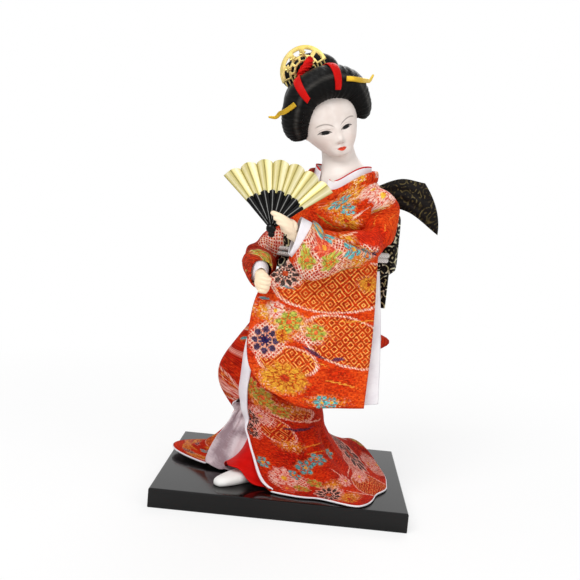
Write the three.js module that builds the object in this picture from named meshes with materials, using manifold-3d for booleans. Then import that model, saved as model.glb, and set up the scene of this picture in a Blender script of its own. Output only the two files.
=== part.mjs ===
// A dressed geisha doll with a folding fan, standing on a lacquered board.
// Millimetres; X to the viewer's right, Y away from the viewer, Z up.
import * as THREE from "three";
import { mergeVertices } from "three/addons/utils/BufferGeometryUtils.js";
import Module from "manifold-3d";

const wasm = await Module();
wasm.setup();

// Driving dimensions
const CLEARANCE = 0.4;
const BOARD_WIDTH = 160;
const BOARD_DEPTH = 125;
const BOARD_THICK = 12.5;
const BOARD_EDGE = 0.8;
const POST_RADIUS = 4;
const POST_SEAT = 7;
const POST_TOP = 150;
const SCREW_RADIUS = 1.6;
const SCREW_HEAD = 3.6;
const WIRE_RADIUS = 2.2;
const LEG_WIRE_RADIUS = 1.5;
const CLOTH = 1.4;
const LINING = 0.8;
const OBI_BOTTOM = 139;
const OBI_TOP = 164;
const OBI_THICK = 2.2;
const CORD_RADIUS = 1.5;
const WAIST = 141;
const CALF = 38;
const CALF_SHARE = 0.55;
const NECK_PLUG = 5.5;
const HEAD_HALF_WIDTH = 18;
const HEAD_TILT = -20.6;
const HEAD_TURN = 19;
const HEAD_NOD = 15;
const COMB_RADIUS = 16.5;
const COMB_THICK = 1.4;
const COMB_TOOTH = 4;
const RIBBON_WIDTH = 4;
const FAN_RADIUS = 42.2;
const FAN_INNER = 21.5;
const FAN_START = 35;
const FAN_SPREAD = 102;
const FAN_LOBE_COUNT = 7;
const FAN_PLEAT = 1.5;
const FAN_PAPER = 0.8;
const TORSO_TURN = -22;

// Placed points of the figure, above the board's top
const POST_AT = [4, 5];
const NECK_BASE = new THREE.Vector3(23.5, -1.5, 196);
const NECK_AXIS = new THREE.Vector3(-0.28, -0.17, 1).normalize();
const HEAD_AT = new THREE.Vector3(9.6, -8.6, 231.9);
const FAN_AT = new THREE.Vector3(-18.2, -58, 165);

const { lerp, clamp, degToRad } = THREE.MathUtils;
const V = (x = 0, y = 0, z = 0) => new THREE.Vector3(x, y, z);
const bell = (distance, width) => Math.exp(-((distance / width) ** 2));

// A smooth curve through rows of [position, value, value ...].
function track(rows) {
  const last = rows.length - 1;
  const slope = (i, k) => {
    const a = rows[Math.max(i - 1, 0)],
      b = rows[Math.min(i + 1, last)];
    return (b[k] - a[k]) / (b[0] - a[0]);
  };
  return (position) => {
    const t = clamp(position, rows[0][0], rows[last][0]);
    let i = 0;
    while (i < last - 1 && t > rows[i + 1][0]) i++;
    const span = rows[i + 1][0] - rows[i][0],
      s = (t - rows[i][0]) / span,
      s2 = s * s,
      s3 = s2 * s;
    return rows[i]
      .map(
        (from, k) =>
          (2 * s3 - 3 * s2 + 1) * from +
          (s3 - 2 * s2 + s) * span * slope(i, k) +
          (3 * s2 - 2 * s3) * rows[i + 1][k] +
          (s3 - s2) * span * slope(i + 1, k),
      )
      .slice(1);
  };
}

// One closed body from points and quads or triangles, turned to face out.
function closed(points, faces) {
  const triangles = faces.flatMap((f) =>
    f.length === 4 ? [[f[0], f[1], f[2]], [f[0], f[2], f[3]]] : [f],
  );
  let volume = 0;
  for (const [a, b, c] of triangles)
    volume += points[a].dot(V().crossVectors(points[b], points[c]));
  return new THREE.BufferGeometry()
    .setAttribute(
      "position",
      new THREE.Float32BufferAttribute(points.flatMap((p) => [p.x, p.y, p.z]), 3),
    )
    .setIndex(triangles.flatMap(([a, b, c]) => (volume > 0 ? [a, b, c] : [a, c, b])));
}

// Cloth of one thickness over point(u, v); wrap joins its first and last column.
function sheet(point, columns, rows, thickness, shift = 0, wrap = false) {
  const across = wrap ? columns : columns + 1;
  const points = [],
    faces = [];
  const id = (side, i, j) => (side * across + (i % across)) * (rows + 1) + j;
  for (const side of [-0.5, 0.5])
    for (let i = 0; i < across; i++)
      for (let j = 0; j <= rows; j++) {
        const u = i / columns,
          v = j / rows,
          e = 1e-3;
        const du = point(u + e, v).sub(point(u - e, v)),
          dv = point(u, Math.min(v + e, 1)).sub(point(u, Math.max(v - e, 0)));
        const normal = du.cross(dv).normalize();
        points.push(point(u, v).addScaledVector(normal, shift + side * thickness));
      }
  for (let i = 0; i < columns; i++) {
    for (let j = 0; j < rows; j++) {
      faces.push([id(0, i, j), id(0, i + 1, j), id(0, i + 1, j + 1), id(0, i, j + 1)]);
      faces.push([id(1, i, j + 1), id(1, i + 1, j + 1), id(1, i + 1, j), id(1, i, j)]);
    }
    faces.push([id(1, i, 0), id(1, i + 1, 0), id(0, i + 1, 0), id(0, i, 0)]);
    faces.push([id(0, i, rows), id(0, i + 1, rows), id(1, i + 1, rows), id(1, i, rows)]);
  }
  for (let j = 0; j < rows && !wrap; j++) {
    const c = columns;
    faces.push([id(0, 0, j), id(0, 0, j + 1), id(1, 0, j + 1), id(1, 0, j)]);
    faces.push([id(0, c, j + 1), id(0, c, j), id(1, c, j), id(1, c, j + 1)]);
  }
  return closed(points, faces);
}

// A filled form whose rings point(u, v) run from v = 0 to v = 1.
function solid(point, columns, rows) {
  const points = [],
    faces = [];
  const id = (i, j) => j * columns + (i % columns);
  for (let j = 0; j <= rows; j++)
    for (let i = 0; i < columns; i++) points.push(point(i / columns, j / rows));
  for (const j of [0, rows]) {
    const middle = V();
    for (let i = 0; i < columns; i++)
      middle.addScaledVector(points[id(i, j)], 1 / columns);
    points.push(middle);
  }
  const ends = points.length - 2;
  for (let i = 0; i < columns; i++) {
    for (let j = 0; j < rows; j++)
      faces.push([id(i, j), id(i + 1, j), id(i + 1, j + 1), id(i, j + 1)]);
    faces.push([ends, id(i + 1, 0), id(i, 0)]);
    faces.push([ends + 1, id(i, rows), id(i + 1, rows)]);
  }
  return closed(points, faces);
}

// A limb along rows of [x, y, z, half width, half height].
function limb(rows, columns, steps, { grow = 0, radius, up = V(0, 0, 1) } = {}) {
  const last = rows.length - 1;
  const along = track(rows.map((row, i) => [i / last, ...row]));
  return solid(
    (u, v) => {
      const [x, y, z, wide, high] = along(v);
      const [ax, ay, az] = along(Math.max(v - 1e-3, 0)),
        [bx, by, bz] = along(Math.min(v + 1e-3, 1));
      const tangent = V(bx - ax, by - ay, bz - az).normalize();
      const side = V().crossVectors(tangent, up).normalize(),
        rise = V().crossVectors(side, tangent);
      const a = 2 * Math.PI * u;
      return V(x, y, z)
        .addScaledVector(side, ((radius ?? wide) + grow) * Math.cos(a))
        .addScaledVector(rise, ((radius ?? high) + grow) * Math.sin(a));
    },
    columns,
    steps,
  );
}

// A turned form: outline of [radius, height] from axis to axis, about Z.
function turned(outline, sides) {
  return new THREE.LatheGeometry(
    outline.map(([r, h]) => new THREE.Vector2(r, h)),
    sides,
  ).rotateX(Math.PI / 2);
}
const rod = (radius, bottom, top, sides = 20) =>
  turned([[0, bottom], [radius, bottom], [radius, top], [0, top]], sides);
const egg = (x, y, z, rx, ry, rz, sides = 20) =>
  new THREE.SphereGeometry(1, sides, Math.round(sides * 0.6))
    .scale(rx, ry, rz)
    .translate(x, y, z);

// Adding and cutting solids
function body(geometry) {
  const bare = geometry.clone();
  bare.deleteAttribute("normal");
  bare.deleteAttribute("uv");
  const merged = mergeVertices(bare, 1e-4);
  const kept = [];
  for (let i = 0; i < merged.index.count; i += 3) {
    const [a, b, c] = [0, 1, 2].map((k) => merged.index.getX(i + k));
    if (a !== b && b !== c && c !== a) kept.push(a, b, c);
  }
  return new wasm.Manifold(
    new wasm.Mesh({
      numProp: 3,
      vertProperties: merged.attributes.position.array,
      triVerts: new Uint32Array(kept),
    }),
  );
}
function shape(made) {
  const { vertProperties, triVerts } = made.getMesh();
  return new THREE.BufferGeometry()
    .setAttribute("position", new THREE.BufferAttribute(vertProperties, 3))
    .setIndex(new THREE.BufferAttribute(triVerts, 1));
}
const cut = (from, ...tools) =>
  shape(tools.reduce((left, tool) => left.subtract(body(tool)), body(from)));
const join = (...pieces) =>
  shape(pieces.map(body).reduce((all, piece) => all.add(piece)));

// Groups, one per moving body, and materials
const root = new THREE.Group();
const groups = {};
for (const name of ["doll", "head", "left_hand", "right_hand", "fan"]) {
  groups[name] = new THREE.Group();
  groups[name].name = name + "_body";
  root.add(groups[name]);
}
const paint = (color, roughness = 0.6, metalness = 0) =>
  new THREE.MeshStandardMaterial({ color, roughness, metalness });
const LACQUER = paint(0x181616, 0.15);
const BROCADE = paint(0xd9431f);
const WHITE_SILK = paint(0xece6ea);
const RED_SILK = paint(0xd81c10);
const BLACK_BROCADE = paint(0x1c1a1a);
const HAIR = paint(0x121212, 0.5);
const SKIN = paint(0xe8ddd4, 0.4);
const GOLD = paint(0xd8b23c, 0.35, 0.8);
const GOLD_PAPER = paint(0xe6d98c, 0.4, 0.4);
const STEEL = paint(0x8c8c8c, 0.4, 1);
const WOOD = paint(0xb08a5a);
const STUFFING = paint(0xc9bfae, 0.9);
const CORD = paint(0xf2efe8);
function piece(group, name, geometry, material, raised = true) {
  const mesh = new THREE.Mesh(geometry, material);
  mesh.name = name;
  if (raised) mesh.position.z = BOARD_THICK;
  groups[group].add(mesh);
}

// Board, post and screw
const flat = new THREE.Shape();
{
  const w = BOARD_WIDTH / 2 - BOARD_EDGE,
    d = BOARD_DEPTH / 2 - BOARD_EDGE;
  flat.moveTo(-w, -d).lineTo(w, -d).lineTo(w, d).lineTo(-w, d).closePath();
}
const board = new THREE.ExtrudeGeometry(flat, {
  depth: BOARD_THICK - 2 * BOARD_EDGE,
  bevelSize: BOARD_EDGE,
  bevelThickness: BOARD_EDGE,
  bevelSegments: 2,
}).translate(0, 0, BOARD_EDGE);
const post_floor = BOARD_THICK - POST_SEAT,
  [post_x, post_y] = POST_AT;
const at_post = (geometry) => geometry.translate(post_x, post_y, 0);
const SCREW_LENGTH = POST_SEAT + 12;
const head_floor = post_floor - 2.4;
piece(
  "doll",
  "base_board",
  cut(
    board,
    at_post(rod(POST_RADIUS + CLEARANCE, post_floor, BOARD_THICK + 1)),
    at_post(rod(SCREW_RADIUS + CLEARANCE, -1, post_floor + 1)),
    at_post(rod(SCREW_HEAD + CLEARANCE, -1, head_floor)),
  ),
  LACQUER,
  false,
);
piece(
  "doll",
  "support_post",
  cut(
    at_post(rod(POST_RADIUS, post_floor + CLEARANCE - BOARD_THICK, POST_TOP)),
    at_post(rod(SCREW_RADIUS + CLEARANCE, -BOARD_THICK, head_floor + SCREW_LENGTH - BOARD_THICK + 1)),
  ),
  WOOD,
);
piece(
  "doll",
  "post_screw",
  at_post(
    turned(
      [
        [0, head_floor - CLEARANCE - 2],
        [SCREW_HEAD, head_floor - CLEARANCE - 2],
        [SCREW_HEAD, head_floor - CLEARANCE],
        [SCREW_RADIUS, head_floor - CLEARANCE],
        [SCREW_RADIUS, head_floor + SCREW_LENGTH - 2],
        [0, head_floor + SCREW_LENGTH],
      ],
      20,
    ),
  ),
  STEEL,
  false,
);

// Ovals of the body: [height, centre x, centre y, half width, half depth, turn]
const oval = ([x, y, a, b, turn], degrees, z, grow = 0) => {
  const t = degToRad(degrees - turn),
    w = a + grow,
    d = b + grow;
  const r = (w * d) / Math.hypot(d * Math.cos(t), w * Math.sin(t));
  return V(x + r * Math.cos(degToRad(degrees)), y + r * Math.sin(degToRad(degrees)), z);
};
const TRUNK = [
  [72, 3, 2, 20, 16, -6],
  [92, 6, 2, 24, 19, -8],
  [118, 10, 1.5, 21, 16.5, -14],
  [140, 13.5, 1, 20.5, 16, -18],
  [165, 18, 0, 23, 16.5, TORSO_TURN],
  [182, 21, -0.5, 25, 15.5, TORSO_TURN],
  [186.5, 22, -1, 22, 14, TORSO_TURN],
];
const BODICE = [
  [WAIST, 13.5, 1, 24, 19.5, -18],
  [165, 18, 0, 27, 20, TORSO_TURN],
  [180, 21, -0.5, 31, 20, TORSO_TURN],
  [189, 22.4, -1, 31, 20.5, TORSO_TURN],
  [199, 22.4, -2.6, 22.5, 20, TORSO_TURN],
];
const trunk = track(TRUNK),
  bodice = track(BODICE);
const front = 270 + TORSO_TURN;
const from_front = (degrees) => {
  const d = (((degrees - front) % 360) + 360) % 360;
  return Math.min(d, 360 - d);
};
const neckline = (degrees) => 199 - 11 * bell(from_front(degrees), 42);

// Arms: [x, y, z, half width, half height] of the sleeve round each wire
const LEFT_ARM = [
  [36, -7, 186, 9, 10],
  [50, -12.5, 182, 10, 11],
  [52, -18, 164, 10, 10.5],
  [43, -31, 154.5, 9.5, 12.5],
  [25, -42, 153, 8.5, 12.5],
  [10, -47.5, 154, 7, 12.5],
  [0, -50.5, 159.5, 5.5, 13.5],
];
const RIGHT_ARM = [
  [1, 7, 182, 8, 9],
  [-8, 8, 176, 9, 10],
  [-17, 2, 158, 9.5, 10],
  [-27, -13, 143.5, 8.5, 10],
  [-27.5, -28, 140, 8, 9.5],
  [-24.5, -38.5, 136.6, 6.5, 8.6],
];
// The end of an arm: where its sleeve stops, and which way it points.
function end_of(arm) {
  const [a, b] = arm.slice(-2).map(([x, y, z]) => V(x, y, z));
  return { at: b, along: b.clone().sub(a).normalize() };
}
const left_end = end_of(LEFT_ARM),
  right_end = end_of(RIGHT_ARM);
const WIRE_REACH = 6;
const wire_rows = (arm, end) => {
  const tip = end.at.clone().addScaledVector(end.along, WIRE_REACH);
  return [...arm, [tip.x, tip.y, tip.z, 0, 0]];
};
const wire = (arm, end, radius) =>
  limb(wire_rows(arm, end), 8, 14, { radius });

// Legs and feet
const RIGHT_LEG = [
  [-10, -17, 12],
  [-7.5, -12, 40],
  [-4, -4, 68],
  [-3, -2, 84],
];
const LEFT_LEG = [
  [11, -6, 12],
  [11, -5.4, 40],
  [13, -4.4, 68],
  [13.5, -4, 84],
];
const leg = (rows, radius) => limb(rows.map((r) => [...r, 1, 1]), 8, 8, { radius, up: V(0, 1, 0) });
const shoe = (rows, ankle) =>
  join(limb(rows, 12, 7), limb(ankle, 12, 2, { up: V(0, 1, 0) }));
const right_foot = shoe(
  [
    [-7, -14, 4.6, 3.5, 4],
    [-11, -18.5, 5.8, 6, 5.4],
    [-21.5, -30, 6.2, 7, 5.8],
    [-31.5, -39.5, 5.2, 6.8, 4.8],
    [-38.5, -45, 3.9, 5, 3.5],
    [-41, -47, 3, 2.4, 2],
  ],
  [
    [-10.5, -17.5, 5, 5, 5],
    [-10, -17, 14, 4.6, 4.6],
    [-9.5, -16, 24, 4.4, 4.4],
  ],
);
const left_foot = shoe(
  [
    [11, -1, 4.6, 3.5, 4],
    [11, -5, 5.8, 6, 5.4],
    [10, -16, 6.2, 7, 5.8],
    [9, -25, 5.2, 6.8, 4.8],
    [8.6, -31, 3.6, 4, 3.2],
  ],
  [
    [11, -6, 5, 5, 5],
    [11, -6, 14, 4.6, 4.6],
    [11, -5.6, 24, 4.4, 4.4],
  ],
);
const bored = LEG_WIRE_RADIUS + CLEARANCE;
const below = (rows) => [[rows[0][0], rows[0][1], rows[0][2] - 1], ...rows.slice(1)];
piece("doll", "right_foot", cut(right_foot, leg(below(RIGHT_LEG), bored)), WHITE_SILK);
piece("doll", "left_foot", cut(left_foot, leg(below(LEFT_LEG), bored)), WHITE_SILK);
piece("doll", "right_leg_wire", leg(RIGHT_LEG, LEG_WIRE_RADIUS), STEEL);
piece("doll", "left_leg_wire", leg(LEFT_LEG, LEG_WIRE_RADIUS), STEEL);

// Neck frame and trunk
const neck_frame = new THREE.Matrix4().compose(
  NECK_BASE,
  new THREE.Quaternion().setFromUnitVectors(V(0, 0, 1), NECK_AXIS),
  V(1, 1, 1),
);
const above = (rows) => [...rows.slice(0, -1), [...rows.at(-1).slice(0, 2), rows.at(-1)[2] + 1]];
const core_of = (grow, bottom, top) =>
  solid((u, v) => oval(trunk(lerp(bottom, top, v)), 360 * u, lerp(bottom, top, v), grow), 18, 6);
piece(
  "doll",
  "torso_core",
  cut(
    core_of(0, TRUNK[0][0], TRUNK.at(-1)[0]),
    at_post(rod(POST_RADIUS + CLEARANCE, 60, POST_TOP + CLEARANCE)),
    leg(above(RIGHT_LEG), bored),
    leg(above(LEFT_LEG), bored),
    rod(NECK_PLUG + CLEARANCE, -24, 0).applyMatrix4(neck_frame),
    wire(LEFT_ARM, left_end, WIRE_RADIUS + CLEARANCE),
    wire(RIGHT_ARM, right_end, WIRE_RADIUS + CLEARANCE),
  ),
  STUFFING,
);
const inner = (arm) => [arm[0].map((n, k) => lerp(n, arm[1][k], 0.12)), ...arm.slice(1)];
piece("doll", "left_arm_wire", wire(inner(LEFT_ARM), left_end, WIRE_RADIUS), STEEL);
piece("doll", "right_arm_wire", wire(inner(RIGHT_ARM), right_end, WIRE_RADIUS), STEEL);

// Upper dress
const bodice_at = (u, v) => {
  const degrees = 360 * u,
    z = lerp(WAIST + CLEARANCE, neckline(degrees), v);
  return oval(bodice(z), degrees, z);
};
const bodice_block = (grow) =>
  solid((u, v) => oval(bodice(lerp(WAIST - 6, 199, v)), 360 * u, lerp(WAIST - 6, 199, v), grow), 24, 6);
piece(
  "doll",
  "kimono_bodice",
  cut(
    sheet(bodice_at, 24, 5, CLOTH, 0, true),
    wire(LEFT_ARM, left_end, WIRE_RADIUS + 2),
    wire(RIGHT_ARM, right_end, WIRE_RADIUS + 2),
  ),
  BROCADE,
);
// A collar runs round the neck from one side of the front to the other.
const COLLAR_GAP = 14;
const collar_at = (u) => front - COLLAR_GAP + u * (360 - 2 * COLLAR_GAP) + 2 * COLLAR_GAP * u * 0.2;
const collar_point = (u, inset, lift) => {
  const degrees = collar_at(u),
    z = neckline(degrees);
  return oval(bodice(z), degrees, z + lift, -inset);
};
const collar_roll = (u, v) => {
  const a = 2 * Math.PI * u,
    full = 1 - 0.35 * bell(from_front(collar_at(v)), 50);
  return collar_point(v, 0.6 - 2 * full * Math.cos(a), 5 + 4.2 * full * Math.sin(a));
};
piece("doll", "kimono_collar", solid(collar_roll, 8, 24), BROCADE);
piece(
  "doll",
  "under_collar",
  sheet((u, v) => collar_point(u, 3.7 + 0.7 * v, lerp(1.4, 8.8, v)), 24, 1, LINING),
  WHITE_SILK,
);
piece(
  "doll",
  "collar_piping",
  solid(
    (u, v) => {
      const a = 2 * Math.PI * u;
      return collar_point(v, 4.5 + 0.5 * Math.cos(a), 9.9 + 0.55 * Math.sin(a));
    },
    5,
    24,
  ),
  RED_SILK,
);

// Obi: band, two cords, and a drum bow with tail and wings at the back
const obi_reach = CLOTH / 2 + 1.6 * CLEARANCE + OBI_THICK / 2;
piece(
  "doll",
  "obi_band",
  sheet(
    (u, v) => {
      const z = lerp(OBI_BOTTOM, OBI_TOP, v);
      return oval(bodice(z), 360 * u, z, obi_reach);
    },
    24,
    2,
    OBI_THICK,
    0,
    true,
  ),
  BLACK_BROCADE,
);
const obi_face = obi_reach + OBI_THICK / 2;
const obi_block = (grow) =>
  solid(
    (u, v) => {
      const z = lerp(OBI_BOTTOM - 2 * CLEARANCE, OBI_TOP + 2 * CLEARANCE, v);
      return oval(bodice(z), 360 * u, z, obi_face + grow);
    },
    24,
    3,
  );
// A closed ring of cord round the obi.
function hoop(height, reach, radius, columns, sides) {
  const points = [],
    faces = [];
  for (let i = 0; i < columns; i++)
    for (let j = 0; j < sides; j++) {
      const a = (2 * Math.PI * j) / sides;
      const z = height + radius * Math.sin(a);
      points.push(oval(bodice(height), (360 * i) / columns, z, reach + radius * Math.cos(a)));
    }
  const id = (i, j) => (i % columns) * sides + (j % sides);
  for (let i = 0; i < columns; i++)
    for (let j = 0; j < sides; j++)
      faces.push([id(i, j), id(i + 1, j), id(i + 1, j + 1), id(i, j + 1)]);
  return closed(points, faces);
}
const cord_reach = obi_face + CLEARANCE + CORD_RADIUS;
const cord_low = lerp(OBI_BOTTOM, OBI_TOP, 0.36);
piece("doll", "obi_cord_lower", hoop(cord_low, cord_reach, CORD_RADIUS, 24, 6), CORD);
piece(
  "doll",
  "obi_cord_upper",
  hoop(cord_low + 2 * CORD_RADIUS + CLEARANCE, cord_reach, CORD_RADIUS, 24, 6),
  CORD,
);
// The bow is placed in the torso's own directions: across, back and up.
const across = V(Math.cos(degToRad(TORSO_TURN)), Math.sin(degToRad(TORSO_TURN)), 0),
  back = V(-Math.sin(degToRad(TORSO_TURN)), Math.cos(degToRad(TORSO_TURN)), 0);
const bow = (side, behind, z) =>
  V(17.5, 0.2, z).addScaledVector(across, side).addScaledVector(back, behind);
const drum_front = bodice(cord_low)[3] + cord_reach + CORD_RADIUS - 0.1;
const DRUM_THICK = 11,
  DRUM_HALF_HEIGHT = 23,
  DRUM_AT = 160;
const drum_middle = drum_front + DRUM_THICK / 2;
const KNOT_SIDE = 8,
  KNOT_WIDTH = 17;
piece(
  "doll",
  "obi_drum",
  solid(
    (u, v) => {
      const a = 2 * Math.PI * u,
        swell = Math.sin(Math.PI * lerp(0.06, 0.94, v)) ** 0.35;
      const side = lerp(-22, 38, v);
      const round = (part, power) => swell * Math.sign(part) * Math.abs(part) ** power;
      const z = DRUM_AT + DRUM_HALF_HEIGHT * round(Math.sin(a), 0.55);
      return bow(side, drum_middle + (DRUM_THICK / 2) * round(Math.cos(a), 0.6), z);
    },
    18,
    8,
  ),
  BLACK_BROCADE,
);
const TAIL_DROP = 22,
  tail_top = DRUM_AT - DRUM_HALF_HEIGHT - CLEARANCE;
piece(
  "doll",
  "obi_tail",
  sheet(
    (u, v) => bow(lerp(-16, 33, u), drum_middle - 1.5 * v + 0.8 * Math.sin(9 * u), tail_top - TAIL_DROP * v),
    10,
    4,
    2,
  ),
  BLACK_BROCADE,
);
// A wing is a soft flattened loop that flares from the knot outwards: [share, bottom and top over the drum].
const wing_edges = track([
  [0, 1.6, 12.6],
  [0.55, 1.6, 21],
  [1, -14.6, 19.2],
]);
const drum_top = DRUM_AT + DRUM_HALF_HEIGHT;
const wing_at = (hand, reach) => (u, v) => {
  const a = 2 * Math.PI * u,
    puff = 0.8 + 2.8 * Math.sin(Math.PI * lerp(0.08, 0.92, v));
  const [bottom, top] = wing_edges(v);
  return bow(
    KNOT_SIDE + hand * (lerp(KNOT_WIDTH / 2 + 2 * CLEARANCE, reach, v) - 6 * v * Math.sin(a)),
    drum_middle - 2.5 * v + puff * Math.cos(a),
    drum_top + lerp(bottom, top, 0.5 + 0.5 * Math.sin(a)),
  );
};
const body_clear = [
  bodice_block(CLOTH / 2 + CLEARANCE),
  obi_block(2 * CORD_RADIUS + 2 * CLEARANCE),
];
const wing_shape = (hand, reach) => solid(wing_at(hand, reach), 12, 8);
piece("doll", "obi_wing_left", cut(wing_shape(1, 51), ...body_clear), BLACK_BROCADE);
piece("doll", "obi_wing_right", cut(wing_shape(-1, 40), ...body_clear), BLACK_BROCADE);
piece(
  "doll",
  "obi_knot",
  cut(
    solid(
      (u, v) => {
        const a = 2 * Math.PI * u,
          swell = Math.sin(Math.PI * lerp(0.12, 0.88, v)) ** 0.5;
        const round = (part, power) => swell * Math.sign(part) * Math.abs(part) ** power;
        return bow(
          KNOT_SIDE + lerp(-0.5, 0.5, v) * KNOT_WIDTH,
          drum_middle + 6 * round(Math.cos(a), 0.7),
          drum_top + CLEARANCE + 6.4 * (1 + round(Math.sin(a), 0.7)),
        );
      },
      14,
      6,
    ),
    ...body_clear,
  ),
  BLACK_BROCADE,
);

// Skirts: a tube from waist to calf, then a bell out to the hem
const SKIRT = [
  [CALF, -4, 1, 28, 29, 0],
  [50, -6, 1, 28, 29.4, 0],
  [62, -4, 1, 30, 30, 0],
  [90, 5, 2, 37, 31, 0],
  [112, 10, 1.5, 33, 26, -10],
  [OBI_BOTTOM, 13.4, 1, 25.6, 21, -18],
];
// Round the hem against the clock: [angle, radius, rise]
const HEM = [
  [-95, 53, 1.4],
  [-71, 60, 1.4],
  [-60, 70, 1.4],
  [-51, 79, 1.4],
  [-30, 75, 1.4],
  [8, 72, 2],
  [38, 64, 13],
  [62, 52, 4],
  [90, 48, 3],
  [146, 66, 3],
  [173, 80, 5],
  [197, 56, 3],
  [225, 50, 3],
];
const UNDER = [
  [CALF, -4, 0.5, 22.5, 23, 0],
  [62, -3, 0.8, 24.5, 24, 0],
  [90, 5, 2, 28, 23.5, -6],
  [118, 10, 1.5, 24, 19.5, -14],
];
const UNDER_HEM = [
  [-180, 37, 3],
  [-150, 41, 7],
  [-134, 40, 14.5],
  [-120, 34, 14.5],
  [-109, 34, 12],
  [-102, 38, 3],
  [-96, 42, 1.6],
  [-75, 50, 1.2],
  [-30, 44, 1.2],
  [0, 40, 1.2],
  [90, 36, 1.2],
  [180, 37, 3],
];
function bell_skirt(profile, hem, top, degrees, drop) {
  const [radius, rise] = hem(degrees);
  const start = profile(CALF);
  if (drop <= CALF_SHARE) {
    const z = lerp(top, CALF, drop / CALF_SHARE);
    return oval(profile(z), degrees, z);
  }
  const s = (drop - CALF_SHARE) / (1 - CALF_SHARE);
  const a = degToRad(degrees);
  const from = oval(start, degrees, CALF);
  const to = V(radius * Math.cos(a), 2 + radius * Math.sin(a), rise);
  const fall = 1 - (1 - s) ** 1.6,
    out = lerp(s ** 1.75, fall, 0.45 * bell(degrees - 190, 45));
  return V(lerp(from.x, to.x, out), lerp(from.y, to.y, out), lerp(CALF, rise, fall));
}
const skirt_profile = track(SKIRT),
  hem = track(HEM),
  under_profile = track(UNDER),
  under_hem = track(UNDER_HEM);
const front_edge = track([
  [0, -150],
  [0.29, -165],
  [0.42, -162],
  [0.473, -158],
  [0.545, -148],
  [0.663, -130],
  [0.769, -116],
  [0.94, -102],
  [1, -96],
]);
const back_edge = track([
  [0, 207.5],
  [0.29, 192.5],
  [0.42, 195.5],
  [0.473, 197],
  [0.53, 187],
  [0.6, 181],
  [0.7, 182],
  [0.8, 187],
  [1, 197],
]);
const SKIRT_COLUMN_COUNT = 40,
  SKIRT_ROW_COUNT = 12,
  LINED_FROM_COLUMN = 20,
  LINED_TOP_ROW = 7;
const skirt_at = (u, v) => {
  const degrees = lerp(front_edge(v)[0], back_edge(v)[0], u);
  const p = bell_skirt(skirt_profile, hem, OBI_BOTTOM - 2 * CLEARANCE, degrees, v);
  const hip = 16 * bell(degrees - 180, 28) * bell(p.z - 64, 24) * Math.min((1 - u) * 14, 1);
  const bustle = 26 * bell(degrees - 30, 13) * bell(p.z - 88, 10);
  const low = Math.max(0, (v - CALF_SHARE) / (1 - CALF_SHARE));
  const fold = 3 * low * (1 - low) * (1 + Math.sin(degToRad(degrees) * 7));
  const a = degToRad(degrees),
    r = hip + bustle + fold * 0.5;
  return p.add(V(r * Math.cos(a), r * Math.sin(a), fold));
};
piece("doll", "kimono_skirt", sheet(skirt_at, SKIRT_COLUMN_COUNT, SKIRT_ROW_COUNT, CLOTH), BROCADE);
piece(
  "doll",
  "skirt_lining",
  sheet(
    (u, v) =>
      skirt_at(
        lerp(LINED_FROM_COLUMN / SKIRT_COLUMN_COUNT, 1, u),
        lerp(LINED_TOP_ROW / SKIRT_ROW_COUNT, 1, v),
      ),
    SKIRT_COLUMN_COUNT - LINED_FROM_COLUMN,
    SKIRT_ROW_COUNT - LINED_TOP_ROW,
    LINING,
    CLOTH / 2 + 3 * CLEARANCE + LINING / 2,
  ),
  WHITE_SILK,
);
piece(
  "doll",
  "skirt_edge",
  sheet(
    (u, v) => {
      const drop = lerp(0.27, 0.99, v);
      return skirt_at(lerp(0.001, lerp(0.027, 0.0055, v), u), drop);
    },
    2,
    16,
    LINING,
    -(CLOTH / 2 + CLEARANCE + LINING / 2),
  ),
  WHITE_SILK,
);
piece(
  "doll",
  "under_skirt",
  sheet(
    (u, v) => bell_skirt(under_profile, under_hem, 118, 360 * u - 180, v),
    26,
    8,
    LINING + 0.2,
    0,
    true,
  ),
  RED_SILK,
);

// Sleeves: the left one hangs as a long bag in front of the skirt
const bag_left = track([
  [0, -2, -46, 152],
  [0.22, -23, -36.5, 128],
  [0.5, -29, -35, 99],
  [0.75, -27, -36, 78],
  [1, -17, -38, 64],
]);
const bag_right = track([
  [0, 49, -24, 152],
  [0.5, 50, -31, 104],
  [1, 48.5, -36, 56],
]);
const bag_at = (u, v) => {
  const [lx, ly, lz] = bag_left(v),
    [rx, ry, rz] = bag_right(v);
  const arch = Math.sin(Math.PI * u);
  return V(
    lerp(lx, rx, u),
    lerp(ly, ry, u) - arch * lerp(8, 5, v) - 0.9 * v * Math.sin(12 * u + 2 * v),
    lerp(lz, rz, u) - arch * lerp(5, 4, v) - 3 * v * bell(u - 0.35, 0.2),
  );
};
piece(
  "doll",
  "left_sleeve",
  cut(
    join(limb(LEFT_ARM, 12, 13), sheet(bag_at, 12, 9, 4)),
    ...body_clear,
    wire(LEFT_ARM, left_end, WIRE_RADIUS + CLEARANCE),
  ),
  BROCADE,
);
piece(
  "doll",
  "left_sleeve_lining",
  sheet(
    (u, v) => {
      const p = bag_at(lerp(0.62, 1, u), lerp(0.1, 0.985, v));
      return V(p.x + u * lerp(2, 9.5, v), p.y + 2 + CLEARANCE + LINING + 6 * u * u, p.z);
    },
    6,
    9,
    LINING,
  ),
  WHITE_SILK,
);
piece(
  "doll",
  "right_sleeve",
  cut(
    limb(RIGHT_ARM, 12, 11),
    ...body_clear,
    wire(RIGHT_ARM, right_end, WIRE_RADIUS + CLEARANCE),
  ),
  BROCADE,
);
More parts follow.
